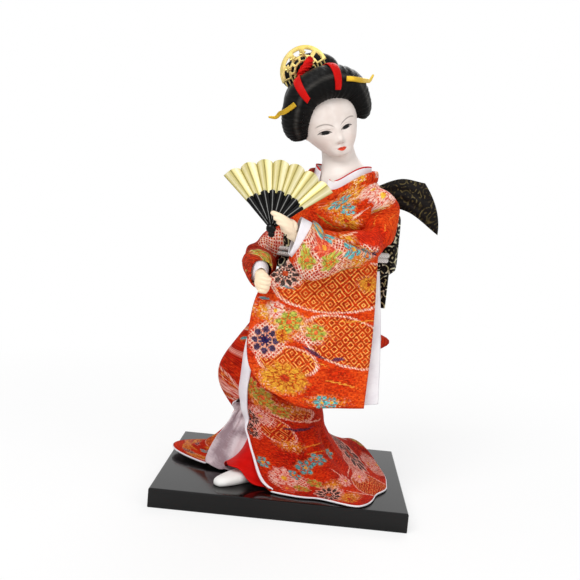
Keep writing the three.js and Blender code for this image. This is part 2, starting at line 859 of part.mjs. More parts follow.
// A cuff carries on from its sleeve, with room for the wrist to turn.
const WRIST_RADIUS = 3.6;
function cuff(arm, end, length, shrink) {
  const [, , , wide, high] = arm.at(-1);
  const row = (distance, scale) => {
    const p = end.at.clone().addScaledVector(end.along, distance);
    return [p.x, p.y, p.z, wide * scale, high * scale];
  };
  const bore = (distance) => row(distance, 0).slice(0, 3);
  return cut(
    limb([row(CLEARANCE, shrink), row(length, shrink * 0.8)], 16, 2),
    limb([[...bore(-1), 1, 1], [...bore(length + 1), 1, 1]], 14, 1, { radius: WRIST_RADIUS + CLEARANCE }),
  );
}
const LEFT_CUFF = 5,
  RIGHT_CUFF = 3;
piece("doll", "left_cuff", cuff(LEFT_ARM, left_end, LEFT_CUFF, 0.86), WHITE_SILK);
piece("doll", "right_cuff", cuff(RIGHT_ARM, right_end, RIGHT_CUFF, 0.86), WHITE_SILK);

// Hands: each turns on the end of its arm wire
const beyond = (end, distance) => end.at.clone().addScaledVector(end.along, distance);
const wrist = (end, from, to, tip) => {
  const a = beyond(end, from),
    b = beyond(end, to);
  return limb([[a.x, a.y, a.z, WRIST_RADIUS, WRIST_RADIUS], [b.x, b.y, b.z, tip, tip]], 14, 2);
};
const socket = (end) => {
  const a = beyond(end, -2),
    b = beyond(end, WIRE_REACH + CLEARANCE);
  return limb([[a.x, a.y, a.z, 1, 1], [b.x, b.y, b.z, 1, 1]], 10, 1, { radius: WIRE_RADIUS + CLEARANCE });
};
const palm = beyond(left_end, 10);
piece(
  "left_hand",
  "left_hand",
  cut(
    join(
      wrist(left_end, CLEARANCE, 9, 4.2),
      egg(palm.x, palm.y, palm.z, 5.6, 4.4, 5.8, 14),
      limb(
        [
          [palm.x, palm.y - 1.5, palm.z, 3, 4.4],
          [-8.5, -60.6, 169.2, 1.8, 4],
          [-13.5, -62, 172, 1.6, 3.6],
          [-19, -61.4, 174.6, 1.2, 2],
        ],
        10,
        7,
      ),
      limb(
        [
          [palm.x, palm.y + 1, palm.z + 1, 2.4, 2.4],
          [-8, -54.4, 169, 2, 2.2],
          [-13, -54.2, 171.6, 1.4, 1.6],
        ],
        8,
        5,
      ),
    ),
    socket(left_end),
  ),
  SKIN,
);
const fist = beyond(right_end, 8);
piece(
  "right_hand",
  "right_hand",
  cut(
    join(
      wrist(right_end, CLEARANCE, 8, 4.4),
      limb(
        [
          [fist.x, fist.y + 0.5, fist.z + 2, 3.4, 3],
          [fist.x + 0.8, fist.y - 1, fist.z - 2.5, 5, 3.6],
          [fist.x + 2, fist.y - 0.4, fist.z - 8, 3.4, 2],
        ],
        14,
        8,
        { up: V(0, 1, 0) },
      ),
    ),
    socket(right_end),
  ),
  SKIN,
);

// Folding fan: gold paper over black sticks, on a rivet
const fan_at = (u, r, pleat) => {
  const a = degToRad(FAN_START + FAN_SPREAD * u);
  const wave = 1 - 2 * Math.abs(((u * FAN_LOBE_COUNT) % 1) * 2 - 1);
  return V(FAN_AT.x + r * Math.cos(a), FAN_AT.y - pleat * wave, FAN_AT.z + r * Math.sin(a));
};
const scallop = (u) => 1 - 0.035 * Math.abs(((u * FAN_LOBE_COUNT) % 1) * 2 - 1);
const fan_u = (u) => clamp(u, 1e-4, 1 - 1e-4);
const leaf = sheet(
  (u, v) => {
    const r = lerp(FAN_INNER + CLEARANCE, FAN_RADIUS * scallop(fan_u(u)), v);
    return fan_at(fan_u(u), r, lerp(0.7, FAN_PLEAT, v));
  },
  FAN_LOBE_COUNT * 4,
  2,
  FAN_PAPER,
);
piece("fan", "fan_leaf", leaf, GOLD_PAPER);
const HUB = 4;
const at_fan = (geometry) => geometry.rotateX(Math.PI / 2).translate(FAN_AT.x, FAN_AT.y, FAN_AT.z);
const RIVET_RADIUS = 1;
piece(
  "fan",
  "fan_ribs",
  cut(
    join(
      sheet(
        (u, v) => fan_at(fan_u(u), lerp(HUB - 0.8, FAN_INNER, v), 0.7 * v),
        FAN_LOBE_COUNT * 2,
        2,
        FAN_PAPER,
      ),
      at_fan(rod(HUB, -1, 1)),
    ),
    at_fan(rod(RIVET_RADIUS + 0.3, -6, 6, 12)),
  ),
  LACQUER,
);
piece(
  "fan",
  "fan_rivet",
  at_fan(
    turned(
      [
        [0, -2.4],
        [1.9, -2.2],
        [2, -1.3],
        [RIVET_RADIUS, -1.3],
        [RIVET_RADIUS, 1.3],
        [1.7, 1.3],
        [2.5, 2.4],
        [2.1, 4],
        [1, 4.8],
        [0, 5],
      ],
      14,
    ),
  ),
  LACQUER,
);

// Head: face and neck in one casting, wig and ornaments in the head's frame
const head_frame = new THREE.Matrix4().compose(
  HEAD_AT,
  new THREE.Quaternion().setFromEuler(
    new THREE.Euler(degToRad(HEAD_NOD), degToRad(HEAD_TILT), degToRad(HEAD_TURN), "YZX"),
  ),
  V(1, 1, 1),
);
// Rings of the head: [height, half width, front, back]
const face = track([
  [-21.5, 3.4, -15.2, -6],
  [-19, 7, -17, 0],
  [-14, 10.8, -17.2, 8],
  [-8, 13.6, -17, 14],
  [0, 15.4, -17, 18],
  [8, 15.8, -17.2, 20],
  [15, 15, -15.8, 19.5],
  [21, 11.6, -11, 16],
  [24.5, 5, -4, 9],
]);
const head_point = (u, v, grow) => {
  const z = lerp(-21.5, 24.5, v),
    a = 2 * Math.PI * u;
  const [half, near, far] = face(z);
  const middle = (near + far) / 2,
    depth = (far - near) / 2;
  const x = (half * (HEAD_HALF_WIDTH / 15.8) + grow) * Math.cos(a),
    y = middle + (depth + grow) * Math.sin(a);
  const facing = Math.sin(a) < 0 ? 1 : 0;
  const nose = 3.4 * bell(x, 2) * bell(z + 6.6, 3.6),
    lips = 0.8 * bell(x, 3) * bell(z + 12.8, 1.8),
    eyes = 0.7 * (bell(x - 7.3, 3) + bell(x + 7.3, 3)) * bell(z, 2.6);
  return V(x, y - facing * (nose + lips - eyes), z + grow * (2 * v - 1));
};
const head_form = (grow, columns, rows) =>
  solid((u, v) => head_point(u, v, grow), columns, rows);
// The neck is turned about its own axis, so that the head can turn in the collar.
const neck_form = (grow) =>
  turned(
    [
      [0, -22],
      [NECK_PLUG - 1 + grow, -22],
      [NECK_PLUG + grow, -20],
      [NECK_PLUG + grow, -6],
      [12.4 + grow, -5],
      [14 + grow, -3],
      [14.4 + grow, 0],
      [13.8 + grow, 4],
      [12.2 + grow, 8.5],
      [10.5 + grow, 13],
      [9.6 + grow, 19],
      [9.4 + grow, 26],
      [0, 28],
    ],
    24,
  ).applyMatrix4(neck_frame);
piece("head", "head", join(head_form(0, 24, 15).applyMatrix4(head_frame), neck_form(0)), SKIN);
const worn = (name, geometry, material) =>
  piece("head", name, geometry.applyMatrix4(head_frame), material);

// The front roll of the wig: [x, y, z, radius]
const ROLL = [
  [-20.4, 0.5, -4, 3.6],
  [-21, 0, 0.5, 6.6],
  [-22.2, -3, 9.5, 8.6],
  [-15.5, -7.5, 23.3, 10.2],
  [0, -10, 28.8, 10.6],
  [15.5, -7.5, 23.3, 10.2],
  [22.2, -3, 9.5, 8.6],
  [21.6, 0, 4, 7],
  [21, 0.5, -0.5, 4],
];
const ROLL_LENGTH = 133;
const roll = track(ROLL.map((row, i) => [i / (ROLL.length - 1), ...row]));
const roll_point = (along, around, grow) => {
  const [x, y, z, r] = roll(along),
    [ax, ay, az] = roll(Math.max(along - 1e-3, 0)),
    [bx, by, bz] = roll(Math.min(along + 1e-3, 1));
  const tangent = V(bx - ax, by - ay, bz - az).normalize();
  const ahead = V(0, -1, 0).addScaledVector(tangent, tangent.y).normalize(),
    rise = V().crossVectors(ahead, tangent).negate();
  const a = degToRad(around);
  return V(x, y, z)
    .addScaledVector(ahead, (r + grow) * Math.cos(a))
    .addScaledVector(rise, -(r + grow) * Math.sin(a));
};
const wig_mass = (grow) =>
  join(
    solid((u, v) => roll_point(v, 360 * u, grow), 14, 16),
    egg(0, 7, 16, 24 + grow, 20 + grow, 21 + grow, 16),
    egg(0, 13, 0, 18 + grow, 11 + grow, 15 + grow, 14),
  );
const neck_in_head = neck_form(CLEARANCE).applyMatrix4(head_frame.clone().invert());
worn("wig", cut(wig_mass(0), head_form(CLEARANCE, 24, 15), neck_in_head), HAIR);
const clear_of_wig = (geometry) => cut(geometry, wig_mass(CLEARANCE));
const KNOT = [1, 17, 35];
worn("top_knot", clear_of_wig(egg(...KNOT, 20, 8.5, 12, 16)), HAIR);

// Comb: an openwork arch standing in front of the top knot
const COMB_AT = V(-7.2, 6.4, 37.2),
  COMB_LEAN = 6;
const arch = (radius, from, to, steps) =>
  Array.from({ length: steps + 1 }, (_, i) => {
    const a = degToRad(lerp(from, to, i / steps));
    return new THREE.Vector2(radius * Math.cos(a), radius * 0.92 * Math.sin(a));
  });
const comb_shape = new THREE.Shape([
  ...arch(COMB_RADIUS, 0, 180, 20),
  ...arch(COMB_RADIUS * 0.42, 180, 0, 12),
]);
for (let i = 0; i < 7; i++) {
  const from = lerp(10, 170, i / 7) + 4,
    to = lerp(10, 170, (i + 1) / 7) - 4;
  comb_shape.holes.push(
    new THREE.Path([
      ...arch(COMB_RADIUS * 0.9, from, to, 4),
      ...arch(COMB_RADIUS * 0.68, to, from, 3),
    ]),
  );
}
const teeth = [-14.5, -11, -7.5, 7.5, 11, 14.5].map((x) =>
  new THREE.BoxGeometry(1.6, COMB_THICK, COMB_TOOTH + 1).translate(x, -COMB_THICK / 2, 0.5 - COMB_TOOTH / 2),
);
const comb = join(
  new THREE.ExtrudeGeometry(comb_shape, { depth: COMB_THICK, bevelEnabled: false }).rotateX(Math.PI / 2),
  ...teeth,
)
  .rotateY(degToRad(-COMB_LEAN))
  .translate(COMB_AT.x, COMB_AT.y, COMB_AT.z);
const knot_room = egg(...KNOT, 20 + CLEARANCE, 8.5 + CLEARANCE, 12 + CLEARANCE, 16);
worn("comb", clear_of_wig(cut(comb, knot_room)), GOLD);

// Red tie and ribbons, gold pins
worn(
  "hair_tie",
  clear_of_wig(
    limb(
      [
        [-12.5, 1.6, 34.5, 1.4, 2.6],
        [-9, 1.2, 38.5, 2.2, 3.4],
        [-4, 1.6, 43, 1.6, 3],
        [-2, 2.2, 46.5, 0.8, 1.2],
      ],
      10,
      8,
      { up: V(1, 0, 0) },
    ),
  ),
  RED_SILK,
);
// A ribbon crosses the roll from back to front: its place along the roll at each end.
const ribbon = (rear, fore) =>
  sheet(
    (u, v) => {
      const along = lerp(fore, rear, u) + ((v - 0.5) * RIBBON_WIDTH) / ROLL_LENGTH;
      return roll_point(along, lerp(-12, 118, u), CLEARANCE + 0.5);
    },
    12,
    1,
    1,
  );
worn("left_ribbon", clear_of_wig(ribbon(0.54, 0.515)), RED_SILK);
worn("right_ribbon", clear_of_wig(ribbon(0.41, 0.372)), RED_SILK);
// A pin lies on the roll, [along, around, lift], and ends in a bent tip beyond it.
const pin = (rows, tips) =>
  limb(
    [...rows.map((row) => [...roll_point(...row), 0.5, 1.5]), ...tips.map((tip) => [...tip, 0.45, 1.3])],
    6,
    14,
  );
worn(
  "right_hairpin",
  pin(
    [[0.335, 22, 1], [0.315, 42, 1], [0.295, 62, 1.6]],
    [[-32, -5.5, 15.6], [-34, -3, 13.4], [-38.5, -1, 15.5]],
  ),
  GOLD,
);
worn(
  "left_hairpin",
  pin(
    [[0.56, 16, 1], [0.595, 36, 1], [0.635, 58, 2]],
    [[27.4, -7.5, 25.4], [31.7, -4, 22.7], [35.7, -3, 26.2]],
  ),
  GOLD,
);

export default root;
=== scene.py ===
"""The finished look of a dressed geisha doll with a folding fan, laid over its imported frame."""
from __future__ import annotations

import logging
import math
from dataclasses import dataclass, field
from enum import Enum
from typing import Any, Callable, Iterable, Sequence

import bpy
import numpy as np
from mathutils import Matrix, Vector


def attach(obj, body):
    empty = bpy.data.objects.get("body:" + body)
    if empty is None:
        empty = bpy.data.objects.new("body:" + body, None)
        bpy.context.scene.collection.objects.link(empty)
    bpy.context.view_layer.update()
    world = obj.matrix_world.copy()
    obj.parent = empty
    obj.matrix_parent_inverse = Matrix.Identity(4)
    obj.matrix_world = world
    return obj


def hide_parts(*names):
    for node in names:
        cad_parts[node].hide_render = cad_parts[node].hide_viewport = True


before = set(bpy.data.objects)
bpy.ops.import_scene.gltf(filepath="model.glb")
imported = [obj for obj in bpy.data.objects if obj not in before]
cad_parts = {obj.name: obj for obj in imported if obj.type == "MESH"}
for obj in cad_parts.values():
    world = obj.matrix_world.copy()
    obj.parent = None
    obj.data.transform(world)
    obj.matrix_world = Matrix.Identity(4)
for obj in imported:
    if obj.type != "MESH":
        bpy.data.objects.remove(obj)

LOG = logging.getLogger("doll")
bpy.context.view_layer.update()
MM = 0.001
BOARD_THICK = 12.5
PHOTO_SIZE = 580
Array = np.ndarray
Piece = bpy.types.Object
Material = bpy.types.Material
Row = Sequence[float]
Spot = tuple[float, float, float]


# Numbers and curves

def bell(distance: Array, width: float) -> Array:
    """Returns a smooth hump that is 1 at distance 0 and fades over width."""
    return np.exp(-((distance / width) ** 2))


def mix(first: Any, second: Any, share: Any) -> Any:
    """Returns the value that lies the given share of the way from first to second."""
    return first + (second - first) * share


def clamp(share: Any) -> Any:
    """Returns share, held between 0 and 1."""
    return np.clip(share, 0, 1)


def quarter(share: Array) -> Array:
    """Returns a quarter of a circle: 1 up to share 0, and falling to 0 at share 1."""
    return np.sqrt(clamp(1 - clamp(share) ** 2))


def boxy(wave: Array, power: float) -> Array:
    """Returns a wave between -1 and 1 that a power below 1 makes fuller."""
    return np.sign(wave) * np.abs(wave) ** power


def ease(share: Array) -> Array:
    """Returns share, held between 0 and 1, with a slow start and end."""
    s = clamp(share)
    return s * s * (3 - 2 * s)


def net(columns: int, rows: int) -> tuple[Array, Array]:
    """Returns the two coordinates, from 0 to 1, of a net of columns by rows faces."""
    return np.meshgrid(np.linspace(0, 1, columns + 1), np.linspace(0, 1, rows + 1), indexing="ij")


def turned(columns: int, rows: int) -> tuple[Array, Array]:
    """Returns the angle round and the coordinate along, from 0 to 1, of a net that closes on itself."""
    u, v = net(columns, rows)
    return 2 * np.pi * u, v


def place(x: Any, y: Any, z: Any) -> Array:
    """Returns points whose coordinates are given one axis at a time."""
    return np.stack(np.broadcast_arrays(x, y, z), -1).astype(float)


def unit(vectors: Array) -> Array:
    """Returns the vectors at length 1."""
    return vectors / np.maximum(np.linalg.norm(vectors, axis=-1, keepdims=True), 1e-9)


class Track:
    """A smooth curve through rows of a position and the values there."""

    def __init__(self, rows: Sequence[Row]) -> None:
        """Keeps the rows and works out the slope at each.

        Args:
            rows: the position first, then the values, in rising order of position.
        """
        table = np.array(rows, float)
        self.at = table[:, 0]
        self.values = table[:, 1:]
        here = np.arange(len(self.at))
        ahead = np.minimum(here + 1, len(self.at) - 1)
        behind = np.maximum(here - 1, 0)
        span = (self.at[ahead] - self.at[behind])[:, None]
        self.slopes = (self.values[ahead] - self.values[behind]) / span

    def __call__(self, position: Any) -> Array:
        """Reads the curve.

        Args:
            position: where to read it; held inside the rows.

        Returns:
            The values, on one more axis than the position has.
        """
        t = np.clip(np.asarray(position, float), self.at[0], self.at[-1])
        i = np.clip(np.searchsorted(self.at, t, side="right") - 1, 0, len(self.at) - 2)
        span = (self.at[i + 1] - self.at[i])[..., None]
        s = (t - self.at[i])[..., None] / span
        rise = 3 * s**2 - 2 * s**3
        leave = (s**3 - 2 * s**2 + s) * span * self.slopes[i]
        arrive = (s**3 - s**2) * span * self.slopes[i + 1]
        return (1 - rise) * self.values[i] + leave + rise * self.values[i + 1] + arrive

    def one(self, position: Any) -> Array:
        """Returns the first value alone."""
        return self(position)[..., 0]


def track(*rows: Row) -> Any:
    """Returns a dataclass field that holds a smooth curve through the rows."""
    return field(default_factory=lambda: Track(rows))


def oval(shape: Array, degrees: Any, z: Any, grow: Any = 0.0) -> Array:
    """Finds points on the ovals of the body.

    Args:
        shape: centre x, centre y, half width, half depth and turn of each oval.
        degrees: the direction of each point from the oval's centre.
        z: the height of each point.
        grow: how far outside the oval it lies.

    Returns:
        The points, in millimetres above the board.
    """
    x, y, wide, deep, turn = np.moveaxis(shape, -1, 0)
    wide = wide + grow
    deep = deep + grow
    aim = np.radians(degrees)
    t = np.radians(degrees - turn)
    reach = wide * deep / np.hypot(deep * np.cos(t), wide * np.sin(t))
    return place(x + reach * np.cos(aim), y + reach * np.sin(aim), z)


def limb(
    rows: Sequence[Row],
    columns: int,
    steps: int,
    up: Row = (0, 0, 1),
    caps: tuple[float, float] = (0, 0),
    square: float = 1.0,
) -> Array:
    """Lofts a tube along a line of ovals.

    Args:
        rows: x, y, z, half width and half height at even steps along the tube.
        columns: faces round it.
        steps: faces along it.
        up: the direction its height is measured in.
        caps: the share of its length that each end takes to round off; 0 leaves an end open.
        square: below 1 the ovals become rounder boxes.

    Returns:
        The net of points, round by along.
    """
    line = Track([(i / (len(rows) - 1), *row) for i, row in enumerate(rows)])
    u, v = net(columns, steps)
    here = line(v)
    tangent = unit(line(np.minimum(v + 1e-3, 1))[..., :3] - line(np.maximum(v - 1e-3, 0))[..., :3])
    side = unit(np.cross(tangent, np.array(up, float)))
    rise = np.cross(side, tangent)
    size = np.ones_like(v)
    for cap, inward in ((caps[0], v), (caps[1], 1 - v)):
        if cap:
            size *= quarter(1 - inward / cap)
    a = 2 * np.pi * u
    cos = boxy(np.cos(a), square)
    sin = boxy(np.sin(a), square)
    wide = here[..., 3] * size * cos
    high = here[..., 4] * size * sin
    return here[..., :3] + side * wide[..., None] + rise * high[..., None]


def egg(centre: Row, size: Row, columns: int, rows: int, pole: int) -> Array:
    """Lofts an egg.

    Args:
        centre: its middle.
        size: its half size on each axis.
        columns: faces round it.
        rows: faces from pole to pole.
        pole: the axis that its poles lie on.

    Returns:
        The net of points, round by along.
    """
    a, v = turned(columns, rows)
    ring = np.sin(np.pi * v)
    shares = {
        pole: (1, np.cos(np.pi * v)),
        (pole + 1) % 3: (ring, np.cos(a)),
        (pole + 2) % 3: (ring, np.sin(a)),
    }
    return place(*(centre[i] + size[i] * shares[i][0] * shares[i][1] for i in range(3)))


def lengths(points: Array) -> tuple[Array, Array]:
    """Returns the running length across and down a net of points."""
    across = np.linalg.norm(np.diff(points, axis=0), axis=-1)
    down = np.linalg.norm(np.diff(points, axis=1), axis=-1)
    return (
        np.pad(np.cumsum(across, axis=0), ((1, 0), (0, 0))),
        np.pad(np.cumsum(down, axis=1), ((0, 0), (1, 0))),
    )


def outward(points: Array) -> Array:
    """Returns the direction that each point of a net faces."""
    du = np.gradient(points, axis=0)
    dv = np.gradient(points, axis=1)
    return unit(np.cross(du, dv))


def ripple(u: Array, v: Array, seed: int, across: Row, along: Row, count: int = 6) -> Array:
    """Sums a few soft waves, as cloth lies that is nowhere quite smooth.

    Args:
        u: the coordinate across.
        v: the coordinate along.
        seed: which set of waves.
        across: least and most waves over u.
        along: least and most waves over v.
        count: how many waves.

    Returns:
        A height between about -1 and 1 at each point.
    """
    choose = np.random.default_rng(seed)
    total = np.zeros_like(u)
    for _ in range(count):
        k = choose.uniform(*across)
        m = choose.uniform(*along)
        total += np.sin(2 * np.pi * (k * u + m * v) + choose.uniform(0, 2 * np.pi))
    return total / count**0.5 / 1.4


# Shader maths

def tint(colour: str | Row) -> Row:
    """Returns the linear colour of a six-digit screen colour, or a linear colour as it is."""
    if not isinstance(colour, str):
        return colour
    parts = [int(colour[i:i + 2], 16) / 255 for i in (0, 2, 4)]
    return tuple(c / 12.92 if c <= 0.04045 else ((c + 0.055) / 1.055) ** 2.4 for c in parts)


def operation(name: str, swap: bool = False) -> Callable[..., Wire]:
    """Returns a method of Wire that adds one kind of Math node."""

    def method(wire: Wire, *others: Any) -> Wire:
        """Returns the result of the operation."""
        return wire.math(name, *others, swap=swap)

    return method


class Wire:
    """A shader socket on which Python's operators add Math nodes."""

    def __init__(self, shader: Shader, socket: bpy.types.NodeSocket) -> None:
        """Keeps the socket and the shader it belongs to."""
        self.shader = shader
        self.socket = socket

    def math(self, operation: str, *others: Any, swap: bool = False) -> Wire:
        """Adds one Math node.

        Args:
            operation: the Math node's operation.
            others: the operands after this one.
            swap: puts this one last.

        Returns:
            The result.
        """
        operands = [*others, self] if swap else [self, *others]
        sockets = dict(enumerate(operands))
        return self.shader.add("ShaderNodeMath", {"operation": operation}, sockets)

    __add__ = __radd__ = operation("ADD")
    __mul__ = __rmul__ = operation("MULTIPLY")
    __sub__ = operation("SUBTRACT")
    __rsub__ = operation("SUBTRACT", swap=True)
    __truediv__ = operation("DIVIDE")
    __abs__ = operation("ABSOLUTE")
    __lt__ = operation("LESS_THAN")
    __gt__ = operation("GREATER_THAN")
    fract = operation("FRACT")
    low = operation("MINIMUM")
    high = operation("MAXIMUM")

    def clamp(self) -> Wire:
        """Returns this, held between 0 and 1."""
        return self.low(1.0).high(0.0)

    def below(self, limit: Any, soft: float) -> Wire:
        """Returns 1 under the limit and 0 over it, with an edge of the given softness."""
        return ((limit - self) / soft + 0.5).clamp()

    def near(self, value: Any, width: float, soft: float) -> Wire:
        """Returns 1 where this is within width of a value."""
        return abs(self - value).below(width, soft)


class Shader:
    """The node tree of one material or of the world."""

    def __init__(self, name: str, world: bpy.types.World | None = None) -> None:
        """Starts an empty material, or empties the world's own nodes."""
        self.material = world or bpy.data.materials.new(name)
        self.material.use_nodes = True
        self.nodes = self.material.node_tree.nodes
        self.links = self.material.node_tree.links
        self.nodes.clear()

    def add(self, kind: str, settings: dict[str, Any], sockets: dict[Any, Any], output: Any = 0) -> Wire:
        """Adds a node.

        Args:
            kind: the node's type.
            settings: its own settings, which are set first; stops are a ramp's places and colours.
            sockets: the value or link of each socket, by name or number.
            output: which of its outputs is wanted.

        Returns:
            That output.
        """
        node = self.nodes.new(kind)
        for key, value in settings.items():
            if key == "stops":
                self.set_stops(node, value)
            elif key == "ramp":
                node.color_ramp.interpolation = value
            else:
                setattr(node, key, value)
        for key, value in sockets.items():
            socket = node.inputs[key]
            if isinstance(value, Wire):
                self.links.new(value.socket, socket)
            else:
                socket.default_value = (*tint(value), 1.0) if socket.type == "RGBA" else value
        return Wire(self, node.outputs[output])

    @staticmethod
    def set_stops(node: bpy.types.Node, stops: Sequence[tuple[float, str | Row]]) -> None:
        """Gives a ramp its stops."""
        elements = node.color_ramp.elements
        while len(elements) < len(stops):
            elements.new(1.0)
        for element, (at, _) in zip(elements, stops):
            element.position = at
        for element, (_, colour) in zip(elements, stops):
            element.color = (*tint(colour), 1.0)

    def uv(self) -> tuple[Wire, Wire, Wire]:
        """Returns the piece's own map as a vector and as its two parts, in millimetres."""
        vector = self.add("ShaderNodeTexCoord", {}, {}, "UV")
        return (vector, *self.split(vector)[:2])

    def split(self, vector: Wire) -> tuple[Wire, Wire, Wire]:
        """Returns the three parts of a vector."""
        node = self.add("ShaderNodeSeparateXYZ", {}, {0: vector}).socket.node
        return tuple(Wire(self, out) for out in node.outputs)

    def parts(self, colour: Wire) -> tuple[Wire, Wire, Wire]:
        """Returns the three parts of a colour."""
        node = self.add("ShaderNodeSeparateColor", {}, {0: colour}).socket.node
        return tuple(Wire(self, out) for out in node.outputs)

    def mapped(self, vector: Wire, at: Row = (0, 0), turn: float = 0, size: Row = (1, 1)) -> Wire:
        """Returns the vector seen from a place on the cloth.

        Args:
            vector: the place on the cloth.
            at: the place that becomes 0.
            turn: the turn of its axes, in degrees.
            size: the length that becomes 1 on each axis.
        """
        sockets = {
            "Vector": vector,
            "Location": (at[0], at[1], 0),
            "Rotation": (0, 0, math.radians(turn)),
            "Scale": (size[0], size[1], 1),
        }
        return self.add("ShaderNodeMapping", {"vector_type": "TEXTURE"}, sockets)

    def joined(self, x: Wire, y: Wire) -> Wire:
        """Returns a vector of two parts."""
        return self.add("ShaderNodeCombineXYZ", {}, {0: x, 1: y})

    def length(self, vector: Wire) -> Wire:
        """Returns a vector's length."""
        return self.add("ShaderNodeVectorMath", {"operation": "LENGTH"}, {0: vector}, "Value")

    def noise(self, vector: Wire, scale: float, detail: float) -> Wire:
        """Returns soft noise between 0 and 1."""
        sockets = {"Vector": vector, "Scale": scale, "Detail": detail, "Roughness": 0.5}
        return self.add("ShaderNodeTexNoise", {"noise_dimensions": "2D"}, sockets)

    def cells(self, vector: Wire, scale: float, loose: float, output: str) -> Wire:
        """Returns one output of the cells round scattered points."""
        settings = {"voronoi_dimensions": "2D", "feature": "F1"}
        sockets = {"Vector": vector, "Scale": scale, "Randomness": loose}
        return self.add("ShaderNodeTexVoronoi", settings, sockets, output)

    def wobble(self, vector: Wire, scale: float, amount: float) -> Wire:
        """Returns a place pushed a little to and fro, as uneven threads do.

        Args:
            vector: the place on the cloth.
            scale: how quickly the push changes, for each millimetre.
            amount: the width of the push, in millimetres.
        """
        across = self.noise(vector, scale, 1) - 0.5
        down = self.noise(self.mapped(vector, (37, -21)), scale, 1) - 0.5
        sockets = {0: self.joined(across, down), 1: (amount,) * 3, 2: vector}
        return self.add("ShaderNodeVectorMath", {"operation": "MULTIPLY_ADD"}, sockets)

    def snap(self, vector: Wire, step: Row) -> Wire:
        """Returns a vector in whole steps, so that a pattern falls into stitches."""
        return self.add("ShaderNodeVectorMath", {"operation": "SNAP"}, {0: vector, 1: (*step, 1.0)})

    def blend(self, mask: Any, first: Any, second: Any, mode: str = "MIX") -> Wire:
        """Returns a colour that is first where the mask is 0 and second where it is 1."""
        settings = {"data_type": "RGBA", "blend_type": mode}
        return self.add("ShaderNodeMix", settings, {0: mask, 6: first, 7: second}, 2)

    def choose(self, mask: Wire, first: Wire, second: Wire) -> Wire:
        """Returns a vector that is first where the mask is 0 and second where it is 1."""
        return self.add("ShaderNodeMix", {"data_type": "VECTOR"}, {0: mask, 4: first, 5: second}, 1)

    def pick(self, mask: Wire, first: Any, second: Any) -> Wire:
        """Returns a number that is first where the mask is 0 and second where it is 1."""
        return self.add("ShaderNodeMix", {"data_type": "FLOAT"}, {0: mask, 2: first, 3: second}, 0)

    def ramp(self, value: Wire, stops: Sequence[tuple[float, str | Row]], kind: str = "LINEAR") -> Wire:
        """Returns the colour that a value has on a ramp."""
        return self.add("ShaderNodeValToRGB", {"stops": stops, "ramp": kind}, {0: value})

    def bump(self, height: Wire, distance: float) -> Wire:
        """Returns the normal of a relief of the given depth in metres."""
        return self.add("ShaderNodeBump", {}, {"Height": height, "Distance": distance, "Strength": 1.0})

    def finish(self, **sockets: Any) -> Material:
        """Closes the material.

        Args:
            sockets: the surface shader's values and links, by name with underscores.

        Returns:
            The material.
        """
        named = {key.replace("_", " "): value for key, value in sockets.items()}
        surface = self.add("ShaderNodeBsdfPrincipled", {}, named)
        self.add_output(surface)
        return self.material

    def add_output(self, surface: Wire, owner: str = "Material") -> None:
        """Joins the surface to the output of a material or world."""
        node = self.nodes.new("ShaderNodeOutput" + owner)
        self.links.new(surface.socket, node.inputs["Surface"])


# Finishes

class Bloom(Enum):
    """The woven flowers, by number on the palette ramps."""

    TURQUOISE = 0
    LIME = 1
    NAVY = 2
    GOLD = 3
    ROSE = 4
    BLACK = 5
    SCARLET = 6


@dataclass(frozen=True)
class Palette:
    """The threads of one woven flower: petal, gap, rim and heart colours, and its petals."""

    petal: str
    gap: str
    rim: str
    heart: str
    petals: int


BLOOM_STEPS = 8
PETAL_STEPS = 16
THREADS: dict[Bloom, Palette] = {
    Bloom.TURQUOISE: Palette("4FB9BE", "D9541F", "E08A3A", "EBA838", 6),
    Bloom.LIME: Palette("A9B545", "DE6A24", "EBC08E", "E86A3A", 7),
    Bloom.NAVY: Palette("1B1D4E", "EFA789", "F3C2AE", "1B1D4E", 8),
    Bloom.GOLD: Palette("E09C30", "C24A18", "DE8E30", "C23A18", 12),
    Bloom.ROSE: Palette("F6C6B6", "DE3D20", "F8D8CC", "F2B93A", 9),
    Bloom.BLACK: Palette("0C0608", "F6C6B4", "F8D8CA", "C9502A", 11),
    Bloom.SCARLET: Palette("E0401F", "EE8A62", "F6CDBF", "F2A03A", 5),
}


@dataclass(frozen=True)
class Motif:
    """A woven flower at a place on the cloth, in millimetres."""

    x: float
    y: float
    size: float
    bloom: Bloom
    turn: float = 0.0
    squash: float = 1.0


@dataclass(frozen=True)
class Patch:
    """An oval patch on the cloth, in millimetres."""

    x: float
    y: float
    wide: float
    high: float
    turn: float = 0.0


@dataclass(frozen=True)
class Leaf:
    """A woven leaf, stem or seam, or a patch of painted shade: its middle, half sizes in millimetres, turn,
    bend and colour.
    """

    x: float
    y: float
    long: float
    wide: float
    turn: float
    colour: str
    bend: float = 0.0


def each(kind: type, *rows: Sequence[Any]) -> tuple[Any, ...]:
    """Returns one of a kind for each row of its values."""
    return tuple(kind(*row) for row in rows)


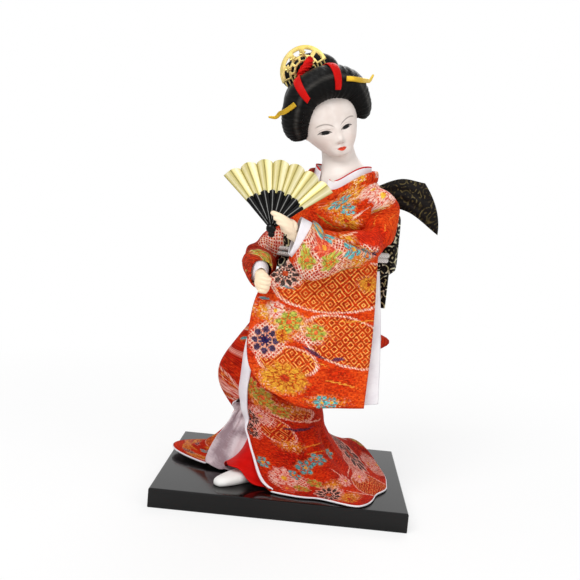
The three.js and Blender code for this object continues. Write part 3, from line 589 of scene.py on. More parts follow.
@dataclass(frozen=True)
class Brocade:
    """Orange-red silk woven with gold frets, pink lattices, gold sprays, flowers and leaf shapes, with
    patches of painted shade.
    """

    name: str
    ground: tuple[str, str] = ("C92D08", "E34C14")
    motifs: tuple[Motif, ...] = ()
    frets: tuple[Patch, ...] = ()
    fine_frets: tuple[Patch, ...] = ()
    lattices: tuple[Patch, ...] = ()
    sprays: tuple[Patch, ...] = ()
    leaves_and_shade: tuple[Leaf, ...] = ()
    scatter: float = 0.0
    scatter_from: float = 0.0
    scatter_to: float = 1000.0
    scatter_step: float = 23.0
    scatter_size: float = 8.2
    # dim: painted shade, the share by which the whole cloth is multiplied towards dark red
    dim: float = 0.0

    @staticmethod
    def edge(shader: Shader, vector: Wire, patches: Iterable[Patch]) -> Wire:
        """Measures how far the cloth lies outside the nearest patch.

        Args:
            shader: the shader that the nodes go in.
            vector: the place on the cloth.
            patches: the oval patches, at least one.

        Returns:
            The distance in millimetres, negative inside.
        """
        edge = None
        for p in patches:
            seen = shader.mapped(vector, (p.x, p.y), p.turn, (p.wide, p.high))
            away = (shader.length(seen) - 1.0) * min(p.wide, p.high)
            edge = away if edge is None else edge.low(away)
        return edge

    @staticmethod
    def fret(x: Wire, y: Wire, cell: Row, rings: float) -> Wire:
        """Returns the lines of diamonds set one inside another."""
        diamond = abs((x / cell[0]).fract() - 0.5) + abs((y / cell[1]).fract() - 0.5)
        return (abs(diamond - 0.5) * rings).fract().near(0.5, 0.16, 0.1)

    def flowers(self, shader: Shader, vector: Wire, x: Wire) -> tuple[Wire, Wire, Wire]:
        """Finds the flower that each place of the cloth belongs to.

        Args:
            shader: the shader that the nodes go in.
            vector: the place on the cloth.
            x: its first part.

        Returns:
            The place inside the flower, its distance from the heart in radii, and the bloom's number.
        """
        cell = shader.cells(vector, 1 / self.scatter_step, 0.7, "Position").socket.node
        offset = {0: vector, 1: Wire(shader, cell.outputs["Position"])}
        from_heart = shader.add("ShaderNodeVectorMath", {"operation": "SUBTRACT"}, offset)
        local = shader.mapped(from_heart, size=(self.scatter_size,) * 2)
        red, green, _ = shader.parts(Wire(shader, cell.outputs["Color"]))
        bare = (green > self.scatter).high(x < self.scatter_from).high(x > self.scatter_to)
        away = shader.length(local) + bare * 9.0
        kind = red * 0.86
        for m in self.motifs:
            seen = shader.mapped(vector, (m.x, m.y), m.turn, (m.size, m.size * m.squash))
            far = shader.length(seen)
            closer = far < away
            local = shader.choose(closer, local, seen)
            kind = shader.pick(closer, kind, (m.bloom.value + 0.5) / BLOOM_STEPS)
            away = away.low(far)
        return local, away, kind

    @staticmethod
    def thread(shader: Shader, kind: Wire, part: str) -> Wire:
        """Returns the colour that one part of a flower is woven in."""
        stops = [(b.value / BLOOM_STEPS, getattr(p, part)) for b, p in THREADS.items()]
        return shader.ramp(kind, stops, "CONSTANT")

    def cover(self, s: Shader, cloth: Wire, calm: Wire, vector: Wire, worn: Wire) -> tuple[Wire, Wire]:
        """Weaves the frets, lattices, sprays and woven leaf shapes over the ground, and lays patches of
        painted shade.

        Args:
            s: the shader that the nodes go in.
            cloth: the ground's colour.
            calm: the place on the cloth, for the straight lines.
            vector: the place on the cloth, a little uneven.
            worn: a slow unevenness from 0 to 1.

        Returns:
            The colour and the raised thread.
        """
        x, y, _ = s.split(calm)
        relief = worn * 0.0
        stitch = (x * 0.9 + y * 0.6).fract().near(0.5, 0.22, 0.2)
        for patches, cell, rings in ((self.frets, (10.6, 11.0), 3.8), (self.fine_frets, (6.6, 6.6), 2.5)):
            if not patches:
                continue
            edge = self.edge(s, vector, patches)
            inside = edge.below(0.0, 0.6)
            gold = self.fret(x, y, cell, rings) * (worn * 1.9).low(1.0) * inside
            cloth = s.blend(inside * 0.5, cloth, "AE2C06")
            cloth = s.blend(gold * 0.95, cloth, "F9AE58")
            beads = edge.near(0.0, 0.55, 0.4) * ((x + y * 0.7) * 0.55).fract().near(0.5, 0.36, 0.1)
            cloth = s.blend(beads, cloth, "F7CFBC")
            relief = relief.high(gold * 0.7).high(beads)
        if self.lattices:
            inside = self.edge(s, vector, self.lattices).below(0.0, 1.6)
            slant = ((x + y) * 0.35).fract().near(0.5, 0.17, 0.09)
            cross = ((x - y) * 0.35).fract().near(0.5, 0.17, 0.09)
            net_lines = slant.high(cross) * (worn * 1.9).low(1.0)
            hatch = s.blend(((worn - 0.55) * 7.0).clamp() * 0.5, "C8331A", "E58A2C")
            hatch = s.blend(net_lines, hatch, "F8D6C4")
            cloth = s.blend(inside * 0.95, cloth, hatch)
            relief = relief.high(inside * net_lines)
        if self.sprays:
            inside = self.edge(s, vector, self.sprays).below(0.0, 4.5)
            tufts = s.noise(s.mapped(vector, turn=35, size=(2.6, 1.1)), 1.0, 2)
            gold = ((tufts - 0.42) * 9.0 + inside * 1.4 - 0.7).clamp() * inside
            tone = s.blend(stitch, "D8821C", "F0B43C")
            cloth = s.blend(gold, cloth, tone)
            seed = s.cells(vector, 0.42, 1.0, "Distance")
            cloth = s.blend(seed.below(0.26, 0.1) * inside * (worn * 1.6).low(1.0), cloth, "F6D2BC")
            relief = relief.high(gold)
        for leaf in self.leaves_and_shade:
            seen = s.mapped(vector, (leaf.x, leaf.y), leaf.turn, (leaf.long, leaf.wide))
            lx, ly, _ = s.split(seen)
            bow = ly - lx * lx * (leaf.bend * leaf.long / leaf.wide)
            shape = (lx * lx + abs(bow)).below(1.0, 0.35)
            cloth = s.blend(shape, cloth, s.blend(stitch * 0.3, leaf.colour, "E0581F"))
            relief = relief.high(shape)
        return cloth, relief

    def make(self) -> Material:
        """Returns the material."""
        s = Shader(self.name)
        vector, x, y = s.uv()
        cloud = s.noise(vector, 0.05, 3)
        worn = s.noise(vector, 0.25, 2)
        rib = (y * 1.25).fract().near(0.5, 0.25, 0.3)
        grain = s.noise(s.mapped(vector, size=(0.35, 1.3)), 1.0, 2)
        silk = s.ramp(cloud, [(0.35, self.ground[0]), (0.65, self.ground[1])])
        flecks = ((s.noise(s.mapped(vector, size=(2.2, 0.7)), 1.0, 1) - 0.6) * 9.0).clamp()
        silk = s.blend(flecks * 0.22, silk, "F08A3C")
        calm = s.wobble(vector, 0.17, 1.2)
        uneven = s.snap(s.wobble(calm, 0.6, 1.0), (0.9, 0.7))
        cloth, relief = self.cover(s, silk, calm, uneven, worn)
        local, away, kind = self.flowers(s, uneven, x)
        lx, ly, _ = s.split(local)
        counts = [(b.value / BLOOM_STEPS, (p.petals / PETAL_STEPS,) * 3) for b, p in THREADS.items()]
        petals = s.ramp(kind, counts, "CONSTANT")
        angle = ly.math("ARCTAN2", lx)
        wave = (angle * (s.parts(petals)[0] * PETAL_STEPS).math("ROUND")).math("COSINE")
        rim = wave * 0.13 + 0.9
        inside = away.below(rim, 0.07)
        outer = wave.below(-0.75, 0.25) * (away > 0.5)
        inner = (wave * -1.0).below(-0.75, 0.25) * (away < 0.5)
        gaps = outer.high(inner).high(away.near(0.5, 0.03, 0.05)) * away.high(0.22).near(1.0, 0.78, 0.05)
        stitch = (x * 0.75 + y * 1.0).fract().near(0.5, 0.24, 0.2)
        petal = s.blend(stitch * 0.12, self.thread(s, kind, "petal"), self.thread(s, kind, "rim"))
        flower = s.blend(gaps, petal, self.thread(s, kind, "gap"))
        flower = s.blend(away.below(0.24, 0.06), flower, self.thread(s, kind, "heart"))
        cloth = s.blend(away.near(rim + 0.1, 0.06, 0.08) * 0.55, cloth, self.thread(s, kind, "rim"))
        cloth = s.blend(inside, cloth, flower)
        relief = s.pick(inside, relief, 1.2 - gaps)
        slub = s.noise(s.mapped(vector, size=(0.9, 1.3)), 1.0, 2)
        cloth = s.blend(((slub - 0.56) * 8.0).clamp() * 0.25, cloth, "F4A560", "OVERLAY")
        cloth = s.blend(((0.43 - slub) * 8.0).clamp() * 0.35, cloth, "8A1A0A")
        stitches = s.snap(s.wobble(vector, 0.5, 0.8), (1.3, 0.8))
        random = s.add("ShaderNodeTexWhiteNoise", {"noise_dimensions": "2D"}, {"Vector": stitches})
        tone = s.ramp(grain * 0.35 + rib * 0.2 + random * 0.45, [(0.28, (0.1,) * 3), (0.75, (0.92,) * 3)])
        cloth = s.blend(0.72, cloth, tone, "OVERLAY")
        # painted shade: the whole cloth darkened by the dim share
        cloth = s.blend(self.dim, cloth, "C02A18", "MULTIPLY")
        return s.finish(
            Base_Color=cloth,
            Roughness=0.72 - relief * 0.16,
            Normal=s.bump(grain * 0.8 + rib * 0.5, 0.0003),
            Specular_IOR_Level=0.07,
        )


# Layouts of the woven patterns, with a letter for each bloom in its order

T, L, N, G, R, B, S = Bloom
NAVY, TEAL, OLIVE, STRAW, PALE = "262850", "3E8F98", "8C8A32", "E9A03A", "F6CDB8"

BAG_BROCADE = Brocade(
    "bag_brocade",
    motifs=each(
        Motif,
        (-18, 94, 8.8, N), (-4, 106.8, 8.6, L, 20, 0.78), (13.6, 101.8, 6.2, L, 0, 0.85),
        (-13, 113.6, 5.2, R), (-3.5, 71.5, 14.5, G, -8, 0.64), (20.8, 58.5, 4.6, T), (27.5, 58.5, 3.6, T),
        (-8.7, 137.2, 9.2, B, 0, 0.85), (-8, 98, 4.6, G), (44, 134, 5.5, G, 0, 0.8),
    ),
    frets=each(Patch, (24, 132, 40, 17, 3), (-3, 82, 19, 9.5, -4)),
    fine_frets=each(Patch, (34, 97, 30, 15, -15)),
    lattices=each(Patch, (-17, 94, 12, 11.2), (-13, 113, 7, 5), (-9, 138, 13, 10), (8, 97, 9, 2.6, -10)),
    sprays=each(
        Patch,
        (-9, 109, 20, 6, -14), (-6, 70, 15, 8, -8), (-8, 98, 8, 3), (24, 59, 10, 2.5), (10, 103, 10, 3, -12),
        (44, 134, 6, 4),
    ),
    leaves_and_shade=each(
        Leaf,
        (13.5, 89, 8.5, 1.2, -26, NAVY, 0.06), (28.5, 86, 4.6, 1.3, 6, NAVY, -0.1),
        (-6.8, 128.8, 5.5, 0.8, -10, TEAL), (-20.7, 120.3, 4, 1.1, -6, TEAL),
        (31.8, 70.9, 13, 0.5, -10, STRAW, -0.04), (40, 110.6, 12, 0.45, 4, STRAW),
        (14, 84, 10, 0.45, -24, STRAW, 0.06), (26, 64, 14, 0.35, -6, "C9451A"),
    ),
)
ARM_BROCADE = Brocade(
    "arm_brocade",
    motifs=each(
        Motif,
        (19.3, 100, 6.8, T), (28.8, 106, 6.4, S), (38.7, 116.2, 6.8, L, 0, 0.9),
        (37.4, 100.8, 6.2, L, 30, 0.9), (33.3, 87.1, 6.2, T), (33.4, 76.4, 2.6, T, 20), (37.4, 74.2, 2.8, T),
        (36.6, 67.4, 2.8, N, 10), (37.6, 53.4, 2.4, T), (9, 14.7, 9.5, R), (54, 100, 6, T),
        (60, 60, 7, L), (6, 95, 6, R),
    ),
    lattices=each(Patch, (34, 105, 15, 20), (46, 104, 9, 20), (9, 15, 12, 12), (34, 74, 6, 8)),
    sprays=each(Patch, (19, 106, 4, 10), (23, 82, 3, 7), (41, 82, 4, 9), (8, 26, 6, 5), (52, 92, 5, 14)),
    leaves_and_shade=each(
        Leaf,
        # the first is painted shade: a wide deep-red patch on the inner arm by the elbow
        (24, 63, 15, 7.5, 84, "D0220A"), (31, 75.4, 12, 0.5, -63, STRAW), (20.5, 78, 8, 0.5, 84, PALE),
        (16, 45, 13, 0.3, 80, "E8782A"), (24, 42, 12, 0.3, 95, "E8782A"), (47, 84, 10, 1.0, 80, OLIVE),
    ),
    scatter=0.4,
    scatter_from=58.0,
)
BODICE_BROCADE = Brocade(
    "bodice_brocade",
    motifs=each(
        Motif,
        (115.6, 44.6, 7.0, T, 10, 0.85), (127, 40.5, 5.2, T, 30, 0.8), (132.5, 55.8, 7.5, R),
        (125, 33.5, 4.8, G), (143, 53, 6, R), (3, 46, 5, R), (4, 90, 5, L),
    ),
    lattices=each(Patch, (134, 56, 10, 7)),
    sprays=each(
        Patch,
        (117, 52.8, 9, 4), (125, 34, 8, 4), (118, 44, 12, 7), (126, 50, 8, 5), (13, 20, 7, 7), (3, 26, 7, 6),
        (3, 70, 7, 8),
    ),
    leaves_and_shade=each(
        Leaf,
        (131.2, 36.5, 13.4, 0.55, 36.8, PALE), (112, 31, 9, 0.6, -30, OLIVE), (107, 52, 5, 0.5, 60, STRAW),
    ),
    scatter=0.5,
    scatter_from=150.0,
)
RIGHT_BROCADE = Brocade(
    "right_sleeve_brocade",
    ground=("A0220C", "C43512"),
    motifs=each(
        Motif,
        (15, 78, 6, L), (25.8, 58, 4.6, T, 0, 0.7), (45, 92, 6, R), (30, 88, 5, G), (50, 40, 7, N),
    ),
    lattices=each(Patch, (23, 46, 9, 13), (30, 86, 10, 9), (44, 92, 8, 8)),
    sprays=each(Patch, (15, 78, 7, 6), (50, 70, 8, 10)),
    scatter=0.4,
    scatter_from=56.0,
)
SKIRT_BROCADE = Brocade(
    "skirt_brocade",
    ground=("B61E08", "D6360B"),
    # painted shade: the whole skirt is darkened by this share
    dim=0.44,
    motifs=each(
        Motif,
        (25.6, 88.6, 7.2, L, 15, 0.85), (16.5, 84, 5.2, L), (8.5, 106, 5.6, B), (5.4, 117, 5, B),
        (18, 103, 4.6, R), (34, 96, 6, L, 0, 0.7), (33.9, 139, 6.6, T), (45.3, 134.3, 6.2, T, 20),
        (62, 130, 6, T, 10, 0.8), (16.9, 151, 8.6, R), (24, 147, 4.4, T), (15.3, 160.6, 5, S),
        (36.2, 154.2, 6, L, 40, 0.6), (25, 159.5, 5.4, L, 20, 0.6), (41.3, 168.6, 9.5, B, 0, 0.85),
        (108, 146, 14, B), (82, 157, 7, R, 0, 0.8), (60, 158, 6, R), (318, 156, 10, G), (303, 167, 8, B),
        (330, 148, 8, R), (292, 172, 8, G), (6, 140, 4.4, T), (97, 133, 7, B, 0, 0.9),
        (126, 163, 7.5, R, 0, 0.8), (137, 171, 7, R, 20, 0.8), (54, 177, 5, G),
    ),
    frets=each(
        Patch,
        (24, 111, 12, 10, 20), (191, 90, 16, 6, -30), (160, 130, 30, 22), (236, 128, 28, 20),
    ),
    fine_frets=each(Patch, (42, 97, 15, 4.6, 0), (200, 160, 26, 14), (86, 169, 19, 15, 30)),
    lattices=each(
        Patch,
        (18, 103, 9, 7), (19, 153, 13, 10), (107, 147, 17, 13), (88, 150, 10, 12), (42, 168, 11, 7),
        (330, 150, 12, 10), (7, 112, 7, 10), (97, 134, 9, 8), (130, 167, 15, 9),
    ),
    sprays=each(
        Patch,
        (38, 94, 13, 4), (24, 90, 10, 6), (318, 158, 18, 11), (48, 160, 9, 4), (290, 172, 12, 8),
        (30, 122, 9, 4), (55, 176, 9, 5),
    ),
    leaves_and_shade=each(
        Leaf,
        (40.5, 108, 13, 1.1, -4, NAVY, -0.07), (50, 102.6, 14, 0.6, 5, PALE), (46, 121, 15, 0.5, -10, STRAW),
        (52, 127, 13, 0.4, -6, STRAW), (204.8, 74.7, 9, 0.8, -20, OLIVE), (196, 84.2, 9, 0.6, 28, PALE),
        (186, 93.6, 9, 0.7, -20, PALE), (78, 146, 12, 0.6, -40, PALE), (95, 160, 12, 0.6, -30, PALE),
        (66, 174, 16, 0.5, 30, PALE), (56, 150, 8, 0.6, 50, PALE),
    ),
    scatter=0.55,
    scatter_from=125.0,
    scatter_to=285.0,
)


@dataclass(frozen=True)
class SashBrocade:
    """Black silk woven with gold and cream curls."""

    name: str
    dim: str
    bright: str
    curl: float = 7.0

    def make(self) -> Material:
        """Returns the material."""
        s = Shader(self.name)
        vector, *_ = s.uv()
        bent = s.noise(vector, 0.16, 1)
        away = s.cells(vector, 1 / self.curl, 0.85, "Distance")
        line = (away * 2.6 + bent * 0.8).fract().near(0.5, 0.16, 0.1)
        whole = s.noise(vector, 0.3, 1)
        gold = line * ((whole - 0.38) * 7.0).clamp()
        grain = s.noise(s.mapped(vector, size=(0.3, 1.4)), 1.0, 2)
        thread = s.ramp(s.noise(vector, 0.12, 1), [(0.4, self.dim), (0.6, self.bright)])
        ground = s.ramp(grain, [(0.35, "0A0808"), (0.7, "1B1715")])
        return s.finish(
            Base_Color=s.blend(gold, ground, thread),
            Roughness=0.62 - gold * 0.22,
            Normal=s.bump(gold + grain * 0.7, 0.0002),
            Specular_IOR_Level=0.09,
        )


@dataclass(frozen=True)
class Silk:
    """Plain woven silk with a fine rib and soft shading in the dye."""

    name: str
    dark: str
    light: str
    rib: float = 0.9
    rough: float = 0.6
    sheen: float = 0.1
    shine: float = 0.35
    depth: float = 0.00012

    def make(self) -> Material:
        """Returns the material."""
        s = Shader(self.name)
        vector, x, y = s.uv()
        shade = s.noise(vector, 0.06, 3)
        rib = (x / self.rib).fract().near(0.5, 0.3, 0.4)
        weft = (y / self.rib).fract().near(0.5, 0.3, 0.4)
        slub = s.noise(s.mapped(vector, size=(5, 0.6)), 1.0, 2)
        colour = s.ramp(shade * 0.85 + slub * 0.15, [(0.35, self.dark), (0.6, self.light)])
        return s.finish(
            Base_Color=colour,
            Roughness=slub * 0.12 + (self.rough - 0.06),
            Normal=s.bump(rib * 0.5 + weft * 0.4 + slub * 0.6, self.depth),
            Specular_IOR_Level=self.shine,
            Sheen_Weight=self.sheen,
        )


@dataclass(frozen=True)
class Cord:
    """Twisted white cord."""

    name: str = "white_cord"

    def make(self) -> Material:
        """Returns the material."""
        s = Shader(self.name)
        vector, x, y = s.uv()
        strand = ((x + y * 0.8) * 0.62).fract().near(0.5, 0.28, 0.4)
        fuzz = s.noise(vector, 2.2, 2)
        colour = s.blend(strand, "C9C3BE", "F4F1EC")
        return s.finish(
            Base_Color=colour,
            Roughness=fuzz * 0.2 + 0.6,
            Normal=s.bump(strand + fuzz * 0.3, 0.0004),
        )


@dataclass(frozen=True)
class Coat:
    """A hard coat over metal, wood or plastic, with fine unevenness and worn tone."""

    name: str
    dark: str
    light: str
    rough: float
    metal: float = 0.0
    grain: float = 900.0
    depth: float = 0.00002
    stretch: Spot = (1, 1, 1)
    shine: float = 0.5

    def make(self) -> Material:
        """Returns the material."""
        s = Shader(self.name)
        here = s.add("ShaderNodeTexCoord", {}, {}, "Object")
        drawn = s.add("ShaderNodeMapping", {}, {"Vector": here, "Scale": self.stretch})
        tone = s.add("ShaderNodeTexNoise", {}, {"Vector": drawn, "Scale": self.grain / 14, "Detail": 3.0})
        fine = s.add("ShaderNodeTexNoise", {}, {"Vector": drawn, "Scale": self.grain, "Detail": 2.0})
        return s.finish(
            Base_Color=s.ramp(tone, [(0.35, self.dark), (0.65, self.light)]),
            Roughness=tone * 0.1 + fine * 0.06 + (self.rough - 0.08),
            Metallic=self.metal,
            Specular_IOR_Level=self.shine,
            Normal=s.bump(fine, self.depth),
        )


@dataclass(frozen=True)
class Foil:
    """Pressed gold foil; its colour ramp paints a highlight on each pleat's facets and shade in dark lines at
    its folds.
    """

    name: str = "gold_leaf"
    pleats: int = 7
    spread: float = 102.0
    metal: float = 0.4
    shine: float = 0.3
    # painted highlight and painted shade: pale facets and dark fold lines across each pleat
    stops: tuple[tuple[float, str], ...] = (
        (0.0, "877A3C"), (0.05, "D2C687"), (0.22, "F2EBC6"), (0.45, "D6CA8A"), (0.5, "857838"),
        (0.55, "CDC07A"), (0.78, "ECE3B6"), (0.95, "B4A65C"), (1.0, "877A3C"),
    )

    def make(self) -> Material:
        """Returns the material."""
        s = Shader(self.name)
        vector, x, _ = s.uv()
        across = (x * (self.pleats / self.spread)).fract()
        brushed = s.noise(s.mapped(vector, size=(0.7, 14)), 1.0, 2)
        foil = s.ramp(across, self.stops)
        foil = s.blend(0.35, foil, s.ramp(brushed, [(0.35, (0.3,) * 3), (0.65, (0.75,) * 3)]), "OVERLAY")
        return s.finish(
            Base_Color=foil,
            Roughness=brushed * 0.12 + 0.36,
            Metallic=self.metal,
            Specular_IOR_Level=self.shine,
            Normal=s.bump(brushed, 0.00003),
        )


@dataclass(frozen=True)
class Hair:
    """Black combed hair with fine strands and a dull shine; one copy paints a highlight band along the front
    roll's crest.
    """

    name: str = "black_hair"
    painted_gloss: float = 0.0

    def make(self) -> Material:
        """Returns the material."""
        s = Shader(self.name)
        vector, x, _ = s.uv()
        strand = s.noise(s.mapped(vector, size=(26, 0.42)), 1.0, 3)
        lock = s.noise(s.mapped(vector, size=(60, 2.6)), 1.0, 2)
        colour = s.ramp(strand * 0.5 + lock * 0.5, [(0.35, "050505"), (0.7, "131211")])
        # painted highlight: a pale band along the crest of the front roll
        painted_crest_highlight = x.near(4.0, 0.4, 3.4) * (lock * 1.5).low(1.0)
        colour = s.blend(painted_crest_highlight * self.painted_gloss, colour, "5E5B57")
        return s.finish(
            Base_Color=colour,
            Roughness=strand * 0.2 + 0.26,
            Normal=s.bump(strand * 0.6 + lock, 0.0003),
            Specular_IOR_Level=0.08,
        )


@dataclass(frozen=True)
class FacePaint:
    """Powdered face with painted brows, eyes and mouth, and painted shade under the nose, drawn in the head's
    own front view.
    """

    name: str = "painted_face"
    eye: tuple[float, float] = (7.4, -0.5)
    brow: tuple[float, float] = (7.8, 3.3)
    mouth: tuple[float, float] = (0.5, -12.2)

    def make(self) -> Material:
        """Returns the material."""
        s = Shader(self.name)
        vector, x, z = s.uv()
        powder = s.noise(vector, 0.16, 2)
        fine = s.noise(vector, 2.5, 2)
        skin = s.ramp(powder, [(0.3, "E3D6CE"), (0.7, "EBE0D9")])
        side = abs(x)
        eyes = abs(x + 1.05)
        level = z - x * 0.055
        cheek = s.length(s.mapped(s.joined(side, z), (9.5, -7.0), 0, (6, 5)))
        skin = s.blend(cheek.below(0.6, 1.2) * 0.12, skin, "E8B7A6")
        ex, ez = self.eye
        share = (eyes - ex) / 4.1
        arch = 1.0 - share * share
        upper = arch * 1.5 + share * 0.3 + ez
        lower = arch * -0.9 + share * 0.4 + ez
        open_eye = level.below(upper, 0.3) * lower.below(level, 0.3) * abs(share).below(1.0, 0.1)
        lid = abs(level - upper).below(0.26, 0.25) * abs(share).below(1.05, 0.15)
        white = s.blend(open_eye, skin, "A39A94")
        iris = open_eye * abs(share + 0.1).below(0.6, 0.22)
        face = s.blend(iris, white, "0C0A0A")
        face = s.blend(lid, face, "17110F")
        crease = abs(level - upper - 1.25).below(0.16, 0.25) * abs(share).below(0.95, 0.3)
        face = s.blend(crease * 0.55, face, "A08C80")
        bx, bz = self.brow
        along = (side - bx) / 5.2
        line = bz + (1.0 - along * along) * 1.65 + along * 1.0
        brow = abs(level - line).below(0.4, 0.35) * abs(along).below(1.0, 0.35)
        face = s.blend(brow * 0.75, face, "8C8078")
        mx, mz = self.mouth
        lip = abs(x - mx) / 3.3
        top = (1.0 - lip * lip) * 0.75 + abs(lip - 0.35).below(0.2, 0.5) * 0.35 + mz
        bottom = (1.0 - lip * lip) * -1.5 + mz
        mouth = z.below(top, 0.2) * bottom.below(z, 0.2) * lip.below(1.0, 0.1)
        part = abs(z - mz + 0.1).below(0.14, 0.2) * mouth
        lips = s.blend(part, "D8401F", "9E2414")
        face = s.blend(mouth, face, lips)
        # painted shade in the nostrils and under the nose tip
        nostril = s.length(s.mapped(s.joined(side, z), (1.35, -8.9), 0, (0.85, 0.42))).below(1.0, 0.8)
        under = s.length(s.mapped(vector, (0, -9.1), 0, (3.0, 0.6))).below(0.7, 0.6)
        face = s.blend(under * 0.2, face, "C0A294")
        face = s.blend(nostril * 0.5, face, "B08C7E")
        return s.finish(
            Base_Color=face,
            Roughness=0.46 - mouth * 0.12 - iris * 0.2,
            Normal=s.bump(fine, 0.00002),
            Specular_IOR_Level=0.22,
        )


class Looks:
    """The finishes of the doll, each made once."""

    def __init__(self) -> None:
        """Makes the materials."""
        self.white = Silk("white_silk", "E2DCE2", "F1EDF0").make()
        self.lining = Silk("lavender_lining", "917980", "D8C6CA", rough=0.5, shine=0.2).make()
        self.red = Silk("red_silk", "B80805", "D01009", rough=0.5, sheen=0.0, shine=0.1).make()
        self.sock = Coat("white_sock", "E9E6E2", "F6F4F1", 0.75, grain=1400, depth=0.00012).make()
        smooth = {"grain": 300, "depth": 0.00003}
        self.hand = Coat("hand_skin", "F2D8B4", "FBE6CB", 0.5, **smooth).make()
        self.neck = Coat("powdered_neck", "E4D8D0", "EFE6DF", 0.5, **smooth).make()
        stamped = {"grain": 700, "depth": 0.00006}
        self.gold = Coat("stamped_gold", "C9A02A", "E8CA55", 0.36, metal=0.8, **stamped).make()
        self.pale_gold = Coat("pale_gold", "C8AE5C", "EAD68E", 0.34, metal=0.75, **stamped).make()
        self.card = Foil().make()
        self.bead = Coat("black_bead", "030303", "080808", 0.14, grain=500, depth=0.00002, shine=0.15).make()
        # painted highlight: these stops paint a pale streak along the middle of each black stick
        worn = ((0.0, "020202"), (0.38, "050505"), (0.46, "6E6E6C"), (0.5, "A6A6A4"), (0.54, "2A2A2A"),
                (0.62, "060606"), (1.0, "020202"))
        self.stick = Foil("black_sticks", 1, 1.0, 0.0, 0.12, worn).make()
        self.black = SashBrocade("black_brocade", "BDB382", "EEEACE").make()
        # painted shade: a darker copy of the black brocade, with dimmer gold threads, for the wings and the
        # knot
        self.wing = SashBrocade("shaded_wing_brocade", "2E2716", "5A5030").make()
        self.cord = Cord().make()
        self.skirt = SKIRT_BROCADE.make()
        self.bodice = BODICE_BROCADE.make()
        self.arm = ARM_BROCADE.make()
        self.bag = BAG_BROCADE.make()
        self.right = RIGHT_BROCADE.make()
        self.face = FacePaint().make()
        self.hair = Hair().make()
        # the front roll's hair, with its painted highlight band
        self.highlighted_hair = Hair("painted_gloss_hair", 0.7).make()


# Making pieces

@dataclass(frozen=True)
class Dressing:
    """What a finished piece needs beside its mesh: node is the CAD node that it stands for."""

    finish: Material
    slot: str
    node: str = ""
    body: str = "doll"


